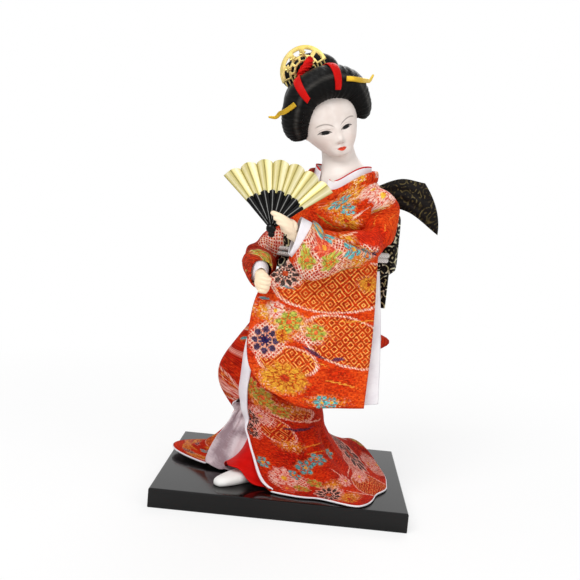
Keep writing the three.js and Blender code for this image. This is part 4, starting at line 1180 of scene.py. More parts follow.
@dataclass(frozen=True)
class Maker:
    """Shapes, joins and finishes meshes with Blender's own operators.

    Attributes:
        least_flat: the shortest flat side of a sheet, in metres.
        least_cut: the smallest share of its flat size that a sheet's cut takes.
        weld: the distance within which the points of a seam merge, in metres.
    """

    least_flat: float = 0.0101
    least_cut: float = 0.31
    weld: float = 2e-6

    def take(self, piece: Piece) -> None:
        """Selects one piece alone and makes it active."""
        bpy.ops.object.select_all(action="DESELECT")
        piece.select_set(True)
        bpy.context.view_layer.objects.active = piece

    def surface(self, name: str, points: Array, uv: Array | None = None) -> Piece:
        """Shapes a grid primitive to a net of points.

        Args:
            name: the piece's name.
            points: columns by rows by three, in millimetres above the board.
            uv: the cloth's own map in millimetres; running lengths if it isn't given.

        Returns:
            The piece, open wherever the net is.
        """
        columns, rows = points.shape[0] - 1, points.shape[1] - 1
        bpy.ops.object.select_all(action="DESELECT")
        bpy.ops.mesh.primitive_grid_add(x_subdivisions=columns, y_subdivisions=rows, size=MM)
        piece = bpy.context.object
        piece.name = name
        piece.data.name = name
        raised = (points + np.array((0, 0, BOARD_THICK))) * MM
        piece.data.vertices.foreach_set("co", raised.transpose(1, 0, 2).ravel())
        pattern = np.stack(lengths(points), -1) if uv is None else uv
        corner = np.empty(len(piece.data.loops), np.int32)
        piece.data.loops.foreach_get("vertex_index", corner)
        flat = pattern.transpose(1, 0, 2).reshape(-1, 2)[corner]
        piece.data.uv_layers[0].uv.foreach_set("vector", flat.astype(np.float32).ravel())
        piece.data.update()
        return piece

    def seal(self, piece: Piece) -> None:
        """Merges the seam and poles of a shaped grid and turns its faces outward."""
        self.take(piece)
        bpy.ops.object.mode_set(mode="EDIT")
        bpy.ops.mesh.select_all(action="SELECT")
        bpy.ops.mesh.remove_doubles(threshold=self.weld)
        bpy.ops.mesh.normals_make_consistent(inside=False)
        bpy.ops.object.mode_set(mode="OBJECT")

    def shell(self, name: str, points: Array, uv: Array | None = None) -> Piece:
        """Returns a closed form from a net whose seam and poles meet."""
        piece = self.surface(name, points, uv)
        self.seal(piece)
        return piece

    def modify(self, piece: Piece, kind: str, **settings: Any) -> None:
        """Adds a modifier and applies it.

        Args:
            piece: the piece to change.
            kind: the modifier's type.
            settings: the modifier's own settings, by name.
        """
        self.take(piece)
        modifier = piece.modifiers.new(kind.lower(), kind)
        for key, value in settings.items():
            setattr(modifier, key, value)
        bpy.ops.object.modifier_apply(modifier=modifier.name)

    def join(self, name: str, pieces: Sequence[Piece]) -> Piece:
        """Joins pieces into one object.

        Args:
            name: the name of the whole.
            pieces: the pieces, at least one.

        Returns:
            The first piece, which now holds them all.
        """
        self.take(pieces[0])
        for other in pieces[1:]:
            other.select_set(True)
        if len(pieces) > 1:
            bpy.ops.object.join()
        pieces[0].name = name
        pieces[0].data.name = name
        return pieces[0]

    def fuse(self, name: str, nets: Sequence[Array], voxel: float, rounds: int) -> Piece:
        """Fuses closed lofts into one smooth skin.

        Args:
            name: the piece's name.
            nets: the nets of the lofts, closed at both ends.
            voxel: the size of its faces, in millimetres.
            rounds: how often it is smoothed.

        Returns:
            The piece.
        """
        piece = self.join(name, [self.shell(name, points) for points in nets])
        self.modify(piece, "REMESH", mode="VOXEL", voxel_size=voxel * MM)
        self.modify(piece, "SMOOTH", factor=0.5, iterations=rounds)
        return piece

    def dress(self, piece: Piece, dressing: Dressing, angle: float = 180) -> Piece:
        """Gives a piece its finish and body, and hides the CAD node that it stands for.

        Args:
            piece: the finished mesh.
            dressing: its finish, slot, node and body.
            angle: edges sharper than this stay sharp.

        Returns:
            The same piece.
        """
        self.take(piece)
        if angle < 180:
            bpy.ops.object.shade_smooth_by_angle(angle=math.radians(angle))
        else:
            bpy.ops.object.shade_smooth()
        piece.data.materials.clear()
        piece.data.materials.append(dressing.finish)
        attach(piece, dressing.body)
        if dressing.node:
            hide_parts(dressing.node)
        LOG.info("%s: %d faces", piece.name, len(piece.data.polygons))
        return piece

    def loft(self, name: str, points: Array, dressing: Dressing, uv: Array | None = None) -> Piece:
        """Makes and dresses a closed form."""
        return self.dress(self.shell(name, points, uv), dressing)

    def cloth(
        self,
        name: str,
        points: Array,
        thick: float,
        dressing: Dressing,
        held: str,
        rests_on: Sequence[str],
        closed: bool = False,
    ) -> None:
        """Makes a sheet of cloth.

        Args:
            name: the piece's name.
            points: the net of its middle surface, in millimetres above the board.
            thick: its thickness in millimetres.
            dressing: its finish, slot, node and body.
            held: how it is held; not used.
            rests_on: what carries it; not used.
            closed: joins the first column to the last.
        """
        piece = self.shell(name, points) if closed else self.surface(name, points)
        self.modify(piece, "SOLIDIFY", thickness=thick * MM, offset=0.0, use_even_offset=False)
        self.dress(piece, dressing)


MAKER = Maker()


# The doll's body, which the clothes follow

FRONT = 248.0
TORSO_TURN = -22.0
BODICE = Track([
    (141, 13.5, 1, 24, 19.5, -18),
    (165, 18, 0, 27, 20, TORSO_TURN),
    (180, 21, -0.5, 31, 20, TORSO_TURN),
    (189, 22.4, -1, 31, 20.5, TORSO_TURN),
    (199, 22.4, -2.6, 22.5, 20, TORSO_TURN),
])
LEFT_ARM = [
    (36, -7, 186, 9, 10),
    (49.5, -12.5, 182, 10, 11),
    (47.8, -18.5, 165, 9.2, 10.5),
    (40, -31, 156.4, 9.2, 12),
    (25, -42, 153.6, 8.5, 12.5),
    (10, -47.5, 154, 7, 12.5),
    (0, -50.5, 159.5, 5.5, 13.5),
]
RIGHT_ARM = [
    (1, 7, 182, 8, 9),
    (-8, 8, 176, 9, 10),
    (-14.5, 2, 158, 8.8, 9.6),
    (-28, -13, 143.8, 8.5, 10),
    (-27.5, -28, 140, 8, 9.5),
    (-24.5, -38.5, 136.6, 6.5, 8.6),
]


def from_front(degrees: Array) -> Array:
    """Returns how far a direction is from the front of the torso, in degrees."""
    away = np.mod(degrees - FRONT, 360)
    return np.minimum(away, 360 - away)


def neckline(degrees: Array) -> Array:
    """Returns the height of the neck opening in each direction."""
    return 199 - 11 * bell(from_front(degrees), 42)


def end_of(arm: Sequence[Row]) -> tuple[Array, Array]:
    """Returns where a sleeve stops and the direction it points in."""
    first, last = np.array(arm[-2][:3], float), np.array(arm[-1][:3], float)
    return last, unit(last - first)


# Parts of the doll

@dataclass
class Board:
    """The lacquered board and the hidden frame, which keep their solids."""

    lacquer: Coat = Coat("black_lacquer", "060606", "0B0A0A", 0.14, grain=420, depth=0.000008, shine=0.28)
    timber: Coat = Coat("post_timber", "9A7444", "C29A63", 0.6, grain=260, stretch=(6, 6, 1))
    wire: Coat = Coat("drawn_wire", "7C7C7E", "9C9C9E", 0.38, metal=1.0)
    wadding: Coat = Coat("packed_wadding", "B9AE9B", "D3C9B6", 0.9, grain=500, depth=0.0003)

    def dress(self) -> None:
        """Gives each kept solid its finish."""
        kept = {
            self.lacquer: ("base_board",),
            self.timber: ("support_post",),
            self.wire: ("post_screw", "left_arm_wire", "right_arm_wire", "left_leg_wire", "right_leg_wire"),
            self.wadding: ("torso_core",),
        }
        for coat, names in kept.items():
            material = coat.make()
            for name in names:
                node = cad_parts[name]
                node.data.materials.clear()
                node.data.materials.append(material)
                LOG.info("%s keeps its solid", name)


@dataclass
class Skirts:
    """The wrapped outer skirt with its train, lining and white edges, and the red under-skirt."""

    looks: Looks
    waist: float = 138.2
    calf: float = 38.0
    calf_share: float = 0.55
    thick: float = 1.1
    under_waist: float = 118.0
    tube: Track = track(
        (38, -4, 1, 28, 29, 0),
        (50, -6, 1, 28, 29.4, 0),
        (62, -4, 1, 30, 30, 0),
        (90, 5, 2, 37, 31, 0),
        (112, 10, 1.5, 33, 26, -10),
        (139, 13.4, 1, 25.6, 21, -18),
    )
    hem: Track = track(
        (-95, 53, 1.4), (-71, 60, 1.4), (-60, 70, 1.4), (-51, 79, 1.4), (-30, 74, 1.4), (8, 68, 2),
        (38, 61, 13), (62, 51, 4), (90, 48, 3), (146, 66, 3), (173, 80, 5), (197, 56, 3), (225, 50, 3),
    )
    under_tube: Track = track(
        (38, -4, 0.5, 22.5, 23, 0),
        (62, -3, 0.8, 24.5, 24, 0),
        (90, 5, 2, 28, 23.5, -6),
        (118, 10, 1.5, 24, 19.5, -14),
    )
    under_hem: Track = track(
        (-180, 37, 3), (-150, 44, 4), (-138, 50, 11), (-130, 54, 12), (-121, 53, 11), (-114, 51, 5),
        (-107, 49, 2), (-96, 48, 1.4), (-75, 50, 1.2), (-30, 44, 1.2), (0, 40, 1.2),
        (90, 36, 1.2), (180, 37, 3),
    )
    front_edge: Track = track(
        (0, -150), (0.29, -168), (0.42, -166), (0.473, -162), (0.545, -149), (0.663, -130),
        (0.769, -116), (0.94, -102), (1, -96),
    )
    back_edge: Track = track(
        (0, 207.5), (0.29, 206), (0.42, 208), (0.473, 204), (0.53, 189), (0.6, 181),
        (0.7, 182), (0.8, 187), (1, 197),
    )

    def hang(self, tube: Track, hem: Track, top: float, degrees: Array, drop: Array) -> Array:
        """Hangs cloth as a tube to the calf and from there as a bell to the hem.

        Args:
            tube: the ovals from calf to waist.
            hem: radius and rise of the hem in each direction.
            top: the height it hangs from.
            degrees: the direction of each point.
            drop: the share of the way down of each point.

        Returns:
            The points.
        """
        radius, rise = np.moveaxis(hem(degrees), -1, 0)
        z = mix(top, self.calf, drop / self.calf_share)
        straight = oval(tube(z), degrees, z)
        s = clamp((drop - self.calf_share) / (1 - self.calf_share))
        start = oval(tube(np.full_like(z, self.calf)), degrees, self.calf)
        aim = np.radians(degrees)
        fall = 1 - (1 - s) ** 1.6
        late = bell(degrees - 166, 9)
        out = mix(s ** (1.75 + 1.9 * late), fall, 0.45 * bell(degrees - 190, 45) * (1 - late))
        low = place(
            mix(start[..., 0], radius * np.cos(aim), out),
            mix(start[..., 1], 2 + radius * np.sin(aim), out),
            mix(self.calf, rise, fall),
        )
        return np.where((drop <= self.calf_share)[..., None], straight, low)

    def outer(self, u: Array, v: Array) -> Array:
        """Returns points of the outer skirt.

        Args:
            u: the share of the way from the front edge round to the flap.
            v: the share of the way from waist to hem.
        """
        degrees = mix(self.front_edge.one(v), self.back_edge.one(v), u)
        points = self.hang(self.tube, self.hem, self.waist, degrees, v)
        z = points[..., 2]
        hip = 16 * bell(degrees - 180, 28) * bell(z - 64, 24) * ease((206 - degrees) / 20)
        bustle = 36 * bell(degrees - 30, 13) * bell(z - 88, 10)
        low = clamp((v - self.calf_share) / (1 - self.calf_share))
        aim = np.radians(degrees)
        fold = 3 * low * (1 - low) * (1 + np.sin(aim * 7))
        crease = 0.5 * ripple(u, v, 11, (3, 9), (1, 5)) * low * (1 - low) * 3
        crease = crease + 0.5 * ripple(u, v, 5, (1, 4), (6, 14)) * bell(v - 0.56, 0.1)
        turn = degrees + 53 + 11 * low
        rising = ease(low * 2.5) * (1 - 0.5 * low)
        gather = (2.2 * bell(turn - 13, 7) - 4.4 * bell(turn, 6) + 1.8 * bell(turn + 13, 8)) * rising
        gather = gather + (2.4 * bell(turn - 42, 6) - 3.2 * bell(turn - 30, 6)) * rising
        tuck = 1.8 * ease((degrees - 193) / 6)
        r = hip + bustle + fold * 0.5 + crease + gather - tuck
        return points + place(r * np.cos(aim), r * np.sin(aim), fold)

    def build(self) -> None:
        """Makes the skirts."""
        u, v = net(230, 116)
        points = self.outer(u, v)
        dressing = Dressing(self.looks.skirt, "brocade", "kimono_skirt")
        MAKER.cloth("kimono_skirt_drape", points, self.thick, dressing, "draped", ["obi_band", "base_board"])
        u, v = net(110, 60)
        inner = self.outer(mix(0.5, 1.0, u), mix(0.5, 0.998, v))
        inner = inner + outward(inner) * 1.3
        dressing = Dressing(self.looks.lining, "white_silk", "skirt_lining")
        MAKER.cloth("skirt_lining_drape", inner, 0.6, dressing, "draped", ["kimono_skirt_drape"])
        u, v = net(8, 120)
        wide = mix(0.008, 0.075, ease((0.5 - v) / 0.25))
        strip = self.outer(wide * u, mix(0.27, 0.995, v))
        lift = 1.25 + 0.5 * np.sin(np.pi * u)
        strip = strip - outward(strip) * lift[..., None]
        dressing = Dressing(self.looks.white, "white_silk", "skirt_edge")
        MAKER.cloth("skirt_edge_strip", strip, 0.7, dressing, "folded", ["kimono_skirt_drape"])
        self.turn_back()
        self.roll()
        u, v = net(200, 70)
        degrees = 360 * u - 180
        under = self.hang(self.under_tube, self.under_hem, self.under_waist, degrees, v)
        low = clamp((v - 0.5) / 0.5)
        pleat = 0.7 * low * np.sin(np.radians(degrees) * 16 + 2 * np.sin(np.radians(degrees) * 3))
        aim = np.radians(degrees)
        under = under + place(pleat * np.cos(aim), pleat * np.sin(aim), 0 * pleat)
        dressing = Dressing(self.looks.red, "red_silk", "under_skirt")
        MAKER.cloth("under_skirt_drape", under, 0.7, dressing, "draped", ["torso_core"], closed=True)

    def turn_back(self) -> None:
        """Lays the turned-back lining from the flap's edge in behind the under-skirt."""
        tuck = Track([
            (0, -25, -6, 44), (0.35, -23.5, -12, 30), (0.6, -24, -17, 18),
            (0.8, -27, -20, 8), (1, -32, -21, 1.2),
        ])
        u, v = net(60, 70)
        edge = self.outer(np.ones_like(v), mix(0.515, 0.995, v))
        points = mix(edge, tuck(v), u[..., None])
        sag = np.sin(np.pi * u) * (1.6 * v + 0.8 * ripple(u, v, 13, (1, 3), (0.5, 2)))
        sag = sag + 4.5 * v * (1 - v) * np.sin(np.pi * u) * np.sin(19 * u + 2.5 * v)
        points = points - place(0 * sag, sag, 0.5 * sag * v)
        points[..., 2] = np.maximum(points[..., 2], 0.7)
        dressing = Dressing(self.looks.lining, "white_silk", "skirt_lining")
        under = ["kimono_skirt_drape", "base_board"]
        MAKER.cloth("skirt_lining_turned", points, 0.7, dressing, "folded", under)

    def roll(self) -> None:
        """Sews a thin white roll along the hem and up the edge of the flap."""
        hem_u = np.linspace(0.0, 1.0, 150)
        flap_v = np.linspace(1.0, 0.5, 40)[1:]
        u = np.concatenate([hem_u, np.ones_like(flap_v)])
        v = np.concatenate([np.ones_like(hem_u), flap_v])
        path = self.outer(u, v)
        path[..., 2] = np.maximum(path[..., 2] - 0.3, 0.75)
        rows = [(*p, 0.6, 0.6) for p in path]
        points = limb(rows, 8, 360, caps=(0.004, 0.004))
        MAKER.loft("hem_roll", points, Dressing(self.looks.white, "white_silk", "skirt_edge"))


@dataclass
class Feet:
    """Two feet in white split-toe socks."""

    looks: Looks
    right: tuple[Row, ...] = (
        (-7, -14, 4.6, 3.5, 4), (-11, -18.5, 5.4, 6, 5.4), (-21.5, -30, 4.2, 7, 5.0),
        (-30.5, -38.5, 3.2, 6.8, 4.2), (-37.5, -44.2, 2.1, 5.6, 3.2), (-41.6, -47.0, 1.2, 3.2, 2.0),
    )
    left: tuple[Row, ...] = (
        (11, -1, 4.6, 3.5, 4), (11, -5, 5.8, 6, 5.4), (10, -16, 6.2, 7, 5.8),
        (9, -25, 5.2, 6.8, 4.8), (8.6, -31, 3.6, 4, 3.2),
    )
    sole: float = 0.25

    def foot(self, name: str, rows: Sequence[Row], ankle: Row) -> None:
        """Makes one foot.

        Args:
            name: the CAD node that it stands for.
            rows: its line from heel to toe.
            ankle: where its leg meets it.
        """
        shape = limb(rows, 40, 60, caps=(0.18, 0.1), square=0.9)
        x, y = ankle
        shin = limb([(x, y, 5, 5, 5), (x + 0.5, y + 0.5, 14, 4.6, 4.6), (x + 1, y + 1.5, 24, 4.4, 4.4)],
                    32, 16, up=(0, 1, 0), caps=(0.05, 0.05))
        piece = MAKER.fuse(name + "_sock", [shape, shin], 0.5, 4)
        self.flatten(piece)
        MAKER.dress(piece, Dressing(self.looks.sock, "white_silk", name))

    def flatten(self, piece: Piece) -> None:
        """Presses the sole flat on the board."""
        for vertex in piece.data.vertices:
            vertex.co.z = max(vertex.co.z, (BOARD_THICK + self.sole) * MM)

    def build(self) -> None:
        """Makes both feet."""
        self.foot("right_foot", self.right, (-10.5, -17.5))
        self.foot("left_foot", self.left, (11, -6))


@dataclass
class UpperDress:
    """The bodice, its brocade collar, the white under-collar and its red piping."""

    looks: Looks
    gap: float = 14.0

    def around(self, u: Array) -> Array:
        """Returns the direction of each point along the collar."""
        return FRONT - self.gap + u * (360 - 2 * self.gap) + 2 * self.gap * u * 0.2

    def line(self, u: Array, inset: Array, lift: Array) -> Array:
        """Returns points beside the neck opening, set in from it and lifted over it."""
        degrees = self.around(u)
        z = neckline(degrees)
        return oval(BODICE(z), degrees, z + lift, -inset)

    def build(self) -> None:
        """Makes the upper dress."""
        u, v = net(160, 60)
        degrees = 360 * u
        z = mix(141.4, neckline(degrees), v)
        side = np.mod(degrees, 360)
        blouse = 2.4 * bell(z - 172, 6) * (bell(side - 290, 50) + 0.5 * bell(side - 200, 40))
        tuck = -1.2 * bell(z - 164, 3.5)
        pull = 0.5 * ripple(u, v, 21, (3, 9), (1, 4)) * bell(v - 0.6, 0.3)
        points = oval(BODICE(z), degrees, z, blouse + tuck * (z > 160) + pull)
        dressing = Dressing(self.looks.bodice, "brocade", "kimono_bodice")
        MAKER.cloth("kimono_bodice_cloth", points, 0.9, dressing, "stretched", ["torso_core"], closed=True)
        a, v = turned(28, 120)
        front = bell(from_front(self.around(v)), 75)
        end = np.minimum(1, np.minimum(v, 1 - v) * 30) ** 0.5
        round_x = boxy(np.cos(a), 0.8)
        middle = 4.4 - 4.6 * front
        band = self.line(v, 0.6 - (1.7 - 0.6 * front) * round_x * end, middle + 3.9 * np.sin(a) * end)
        dressing = Dressing(self.looks.bodice, "brocade", "kimono_collar")
        piece = MAKER.loft("kimono_collar_band", band, dressing)
        u, v = net(150, 12)
        lean = 3.6 + 0.9 * v + 0.15 * ripple(u, v, 3, (2, 6), (0, 1))
        points = self.line(u, lean, mix(1.2, 9.2, v))
        dressing = Dressing(self.looks.white, "white_silk", "under_collar")
        MAKER.cloth("under_collar_band", points, 0.9, dressing, "stretched", ["kimono_bodice_cloth"])
        a, v = turned(10, 150)
        end = np.minimum(1, np.minimum(v, 1 - v) * 60) ** 0.5
        points = self.line(v, 4.5 + 0.5 * np.cos(a) * end, 9.7 + 0.55 * np.sin(a) * end)
        MAKER.loft("collar_piping_line", points, Dressing(self.looks.red, "red_silk", "collar_piping"))


@dataclass
class Sash:
    """The sash round the waist, its cords, and the bow behind."""

    looks: Looks
    bottom: float = 139.0
    top: float = 164.0
    thick: float = 2.2
    reach: float = 2.44
    cord: float = 1.5
    cords: tuple[float, float] = (148.0, 151.4)
    drum_thick: float = 11.0
    drum_half: float = 23.0
    drum_at: float = 160.0
    knot_side: float = 8.0
    knot_width: float = 17.0
    wing: Track = track((0, 1.6, 12.6), (0.55, -0.6, 21), (1, -14.6, 19.2))

    @property
    def cord_reach(self) -> float:
        """How far outside the bodice the middle of a cord runs."""
        return self.reach + self.thick / 2 + 0.4 + self.cord

    @property
    def drum_middle(self) -> float:
        """How far behind the torso the middle of the bow's drum lies."""
        waist = float(BODICE(self.cords[0])[3])
        return waist + self.cord_reach + self.cord - 0.1 + self.drum_thick / 2

    def bow(self, side: Array, behind: Array, z: Array) -> Array:
        """Returns points in the torso's own directions.

        Args:
            side: the distance across, to the doll's left.
            behind: the distance back.
            z: the height.
        """
        turn = math.radians(TORSO_TURN)
        x = 17.5 + side * math.cos(turn) - behind * math.sin(turn)
        y = 0.2 + side * math.sin(turn) + behind * math.cos(turn)
        return place(x, y, z)

    @staticmethod
    def swell(degrees: Array) -> Array:
        """Returns how much fuller the sash is at the doll's right side."""
        return 4.4 * bell(degrees - 194, 24)

    def build(self) -> None:
        """Makes the sash."""
        u, v = net(150, 24)
        z = mix(self.bottom, self.top, v)
        crease = 0.35 * np.sin(v * 19) * bell(from_front(360 * u), 90)
        points = oval(BODICE(z), 360 * u, z, self.reach + crease + self.swell(360 * u))
        dressing = Dressing(self.looks.black, "black_brocade", "obi_band")
        under = ["kimono_bodice_cloth"]
        MAKER.cloth("obi_band_cloth", points, 1.8, dressing, "stretched", under, closed=True)
        for name, z in zip(("obi_cord_lower", "obi_cord_upper"), self.cords):
            self.ring(name, z)
        self.drum()
        u, v = net(60, 24)
        behind = self.drum_middle - 1.5 * v + 0.8 * np.sin(9 * u)
        points = self.bow(mix(-16, 33, u), behind, self.drum_at - self.drum_half + 3 - 25.4 * v)
        dressing = Dressing(self.looks.black, "black_brocade", "obi_tail")
        MAKER.cloth("obi_tail_cloth", points, 1.6, dressing, "hung", ["obi_drum_pad"])
        self.wings()
        self.ends()

    def ends(self) -> None:
        """Lays the two cord ends that show beside the drum."""
        parts = []
        for z, reach in ((151.6, 58.6), (148.2, 58.2)):
            rows = [(41, -3, z - 1, 1.8, 1.8), (49, 3.4, z, 1.8, 1.8), (reach, 8.6, z, 1.7, 1.7)]
            parts.append(MAKER.shell("cord_end", limb(rows, 14, 40, caps=(0.04, 0.06))))
        MAKER.dress(MAKER.join("obi_cord_ends", parts), Dressing(self.looks.cord, "white_cord"))

    def ring(self, name: str, z: float) -> None:
        """Lays one turn of cord round the sash.

        Args:
            name: the CAD node that it stands for.
            z: its height.
        """
        a, v = turned(14, 220)
        waist = np.broadcast_to(BODICE(z), (*v.shape, 5))
        reach = self.cord_reach + self.cord * np.cos(a) + self.swell(360 * v)
        points = oval(waist, 360 * v, z + self.cord * np.sin(a), reach)
        MAKER.loft(name + "_twist", points, Dressing(self.looks.cord, "white_cord", name))

    def drum(self) -> None:
        """Makes the folded drum of the bow."""
        a, v = turned(72, 60)
        swell = clamp(np.sin(np.pi * v)) ** 0.07
        fold = 0.5 * np.sin(7 * np.sin(a)) * np.sin(np.pi * v)
        tall = swell * boxy(np.sin(a), 0.4)
        deep = swell * boxy(np.cos(a), 0.6)
        behind = self.drum_middle + (self.drum_thick / 2 + fold * (np.cos(a) > 0)) * deep
        side = mix(-22, 38, v)
        z = self.drum_at + self.drum_half * tall
        z = z - 5.0 * clamp(-tall) * ease((38 - side) / 14)
        uv = np.stack([side + 3 * deep, z], -1)
        dressing = Dressing(self.looks.black, "black_brocade", "obi_drum")
        piece = MAKER.loft("obi_drum_pad", self.bow(side, behind, z), dressing, uv)

    def wings(self) -> None:
        """Makes the two wings and the knot between them."""
        top = self.drum_at + self.drum_half
        for name, hand, reach in (("obi_wing_left", 1, 51), ("obi_wing_right", -1, 40)):
            a, v = turned(64, 60)
            end = quarter((v - 0.97) / 0.03)
            puff = (0.8 + 2.8 * np.sin(np.pi * mix(0.08, 0.92, v))) * end
            low, high = np.moveaxis(self.wing(v), -1, 0)
            fold = 0.5 * np.sin(10 * np.sin(a) + 2) * np.sin(np.pi * v)
            side = mix(self.knot_width / 2 - 3, reach, v) - 6 * v * np.sin(a) + 3.6 * v**4 * np.cos(a) ** 2
            behind = self.drum_middle - 2.5 * v + (puff + fold) * np.cos(a)
            middle = 0.5 + 0.5 * np.sin(a)
            points = self.bow(self.knot_side + hand * side, behind, top + mix(low, high, middle))
            start = points[:, :1].mean(axis=0, keepdims=True)
            points = np.concatenate([np.broadcast_to(start, points[:, :1].shape), points], axis=1)
            piece = MAKER.loft(name + "_loop", points, Dressing(self.looks.wing, "black_brocade", name))
        a, v = turned(48, 36)
        swell = clamp(np.sin(np.pi * v)) ** 0.45
        tall = swell * boxy(np.sin(a), 0.7)
        deep = swell * boxy(np.cos(a), 0.7)
        crease = 0.4 * np.sin(9 * a) * swell
        points = self.bow(
            self.knot_side + (v - 0.5) * self.knot_width,
            self.drum_middle + (6 + crease) * deep,
            top + 0.4 + 6.4 * (1 + tall),
        )
        piece = MAKER.loft("obi_knot_pad", points, Dressing(self.looks.wing, "black_brocade", "obi_knot"))


@dataclass
class Sleeves:
    """Both sleeves with their cuffs, and the long bag of the left one with its lining."""

    looks: Looks
    bag_left: Track = track(
        (0, -2, -46, 152), (0.22, -23, -36.5, 128), (0.5, -29, -35, 99),
        (0.75, -27, -36, 78), (1, -17, -38, 64),
    )
    bag_right: Track = track((0, 49, -24, 152), (0.5, 50, -31, 104), (1, 48.5, -36, 56))
    bag_thick: float = 3.4

    def bag(self, u: Array, v: Array) -> Array:
        """Returns points of the bag's middle surface.

        Args:
            u: the share of the way from left to right, as the photo shows it.
            v: the share of the way from top to bottom.
        """
        left, right = self.bag_left(v), self.bag_right(v)
        arch = np.sin(np.pi * u)
        points = mix(left, right, u[..., None])
        wave = 0.9 * v * np.sin(12 * u + 2 * v)
        drape = 0.5 * ripple(u, v, 31, (1, 4), (0.3, 1.5)) * v
        crease = 2.2 * bell(u - 0.45 + 0.83 * (v - 0.18), 0.05) * bell(v - 0.25, 0.13)
        crease = crease + 1.1 * bell(u - 0.75 + 0.5 * (v - 0.3), 0.05) * bell(v - 0.35, 0.2)
        points[..., 1] -= arch * mix(8, 5, v) + wave + drape * arch - crease
        points[..., 2] -= arch * mix(5, 4, v) + 3 * v * bell(u - 0.35, 0.2)
        return points

    def build(self) -> None:
        """Makes the sleeves."""
        points = limb(LEFT_ARM, 84, 150)
        u, v = net(84, 150)
        elbow = bell(v - 0.4, 0.16)
        round_arm = np.cos(2 * np.pi * u)
        gather = 1.3 * np.sin(v * 38 + 5 * round_arm) * elbow * (0.5 - 0.5 * round_arm)
        soft = 0.45 * ripple(u, v, 41, (1, 3), (2, 6))
        around, along = lengths(points)
        path = Track([(40, 38), (52, 37.4), (65, 36), (75, 32.2), (82.6, 27.2), (90, 21)])
        valley = 3.0 * bell(around - path.one(along), 1.5) * ease((along - 42) / 8) * ease((92 - along) / 6)
        tuck = 4.0 * bell(around - 41.5, 6) * bell(along - 57, 9)
        points = points - outward(points) * (gather + soft - valley - tuck)[..., None]
        below = clamp(-np.sin(2 * np.pi * u)) ** 1.5
        points[..., 2] -= below * (6.5 * bell(v - 0.84, 0.09) - 3.0 * bell(v - 0.58, 0.1))
        dressing = Dressing(self.looks.arm, "brocade", "left_sleeve")
        under = ["kimono_bodice_cloth"]
        MAKER.cloth("left_sleeve_arm", points, 0.9, dressing, "stretched", under, closed=True)
        self.hang_bag()
        u, v = net(40, 90)
        lining = self.bag(mix(0.62, 1.0, u), mix(0.1, 0.985, v))
        lining = lining + place(u * mix(2, 9.5, v), 3.2 + 6 * u * u, 0 * u)
        dressing = Dressing(self.looks.white, "white_silk", "left_sleeve_lining")
        MAKER.cloth("left_sleeve_lining_fold", lining, 0.6, dressing, "hung", ["left_sleeve_bag"])
        points = limb(RIGHT_ARM, 72, 120)
        u, v = net(72, 120)
        gather = 0.8 * np.sin(v * 40 + 4 * np.cos(2 * np.pi * u)) * bell(v - 0.55, 0.2)
        points = points - outward(points) * (gather + 0.4 * ripple(u, v, 43, (1, 3), (2, 5)))[..., None]
        facing = clamp(-outward(points) @ unit(np.array((-0.8, -0.1, -0.6))))
        points = points + end_of(RIGHT_ARM)[1] * (4.5 * ease((v - 0.82) / 0.18) * facing)[..., None]
        inner = clamp(-outward(points) @ unit(np.array((0.9, -0.1, 0.3))))
        points[..., 0] += 5.0 * bell(v - 0.84, 0.13) * inner
        dressing = Dressing(self.looks.right, "brocade", "right_sleeve")
        MAKER.cloth("right_sleeve_arm", points, 0.9, dressing, "stretched", under, closed=True)
        self.cuff("left_cuff", LEFT_ARM, 7.5, 2.0, 0.84)
        self.cuff("right_cuff", RIGHT_ARM, 4.2, 3.0, 0.55)

    def hang_bag(self) -> None:
        """Makes the bag as two layers of cloth that meet in soft folded edges."""
        w, v = net(180, 110)
        u = 1 - np.abs(1 - 2 * w)
        layer = np.where(w < 0.5, 1.0, -1.0)
        middle = self.bag(u, v)
        rounding = clamp(1 - np.abs(2 * u - 1) ** 24) ** 0.5
        rounding = rounding * quarter((v - 0.975) / 0.025)
        rounding = rounding * clamp(v / 0.02) ** 0.5
        fall = np.array((0.0, -1.0, 0.12))
        points = middle + fall * (layer * rounding * self.bag_thick / 2)[..., None]
        uv = np.stack([points[..., 0], points[..., 2]], -1)
        piece = MAKER.loft("left_sleeve_bag", points, Dressing(self.looks.bag, "brocade", "left_sleeve"), uv)

    def cuff(self, name: str, arm: Sequence[Row], top: float, bottom: float, close: float) -> None:
        """Turns out a white cuff at the end of a sleeve.

        Args:
            name: the CAD node that it stands for.
            arm: the sleeve's rows.
            top: how far it shows on its upper side.
            bottom: how far it shows below.
            close: the share of the sleeve's width at its open end.
        """
        at, along = end_of(arm)
        side = unit(np.cross(along, np.array((0.0, 0.0, 1.0))))
        rise = np.cross(side, along)
        a, v = turned(64, 14)
        reach = mix(-2.0, mix(bottom, top, 0.5 + 0.5 * np.sin(a)), v)
        wide = arm[-1][3] * mix(0.9, close, v) * np.cos(a)
        high = arm[-1][4] * mix(0.9, close, v) * np.sin(a)
        points = at + along * reach[..., None] + side * wide[..., None] + rise * high[..., None]
        dressing = Dressing(self.looks.white, "white_silk", name)
        under = [name.replace("cuff", "sleeve_arm")]
        MAKER.cloth(name + "_fold", points, 0.6, dressing, "folded", under, closed=True)


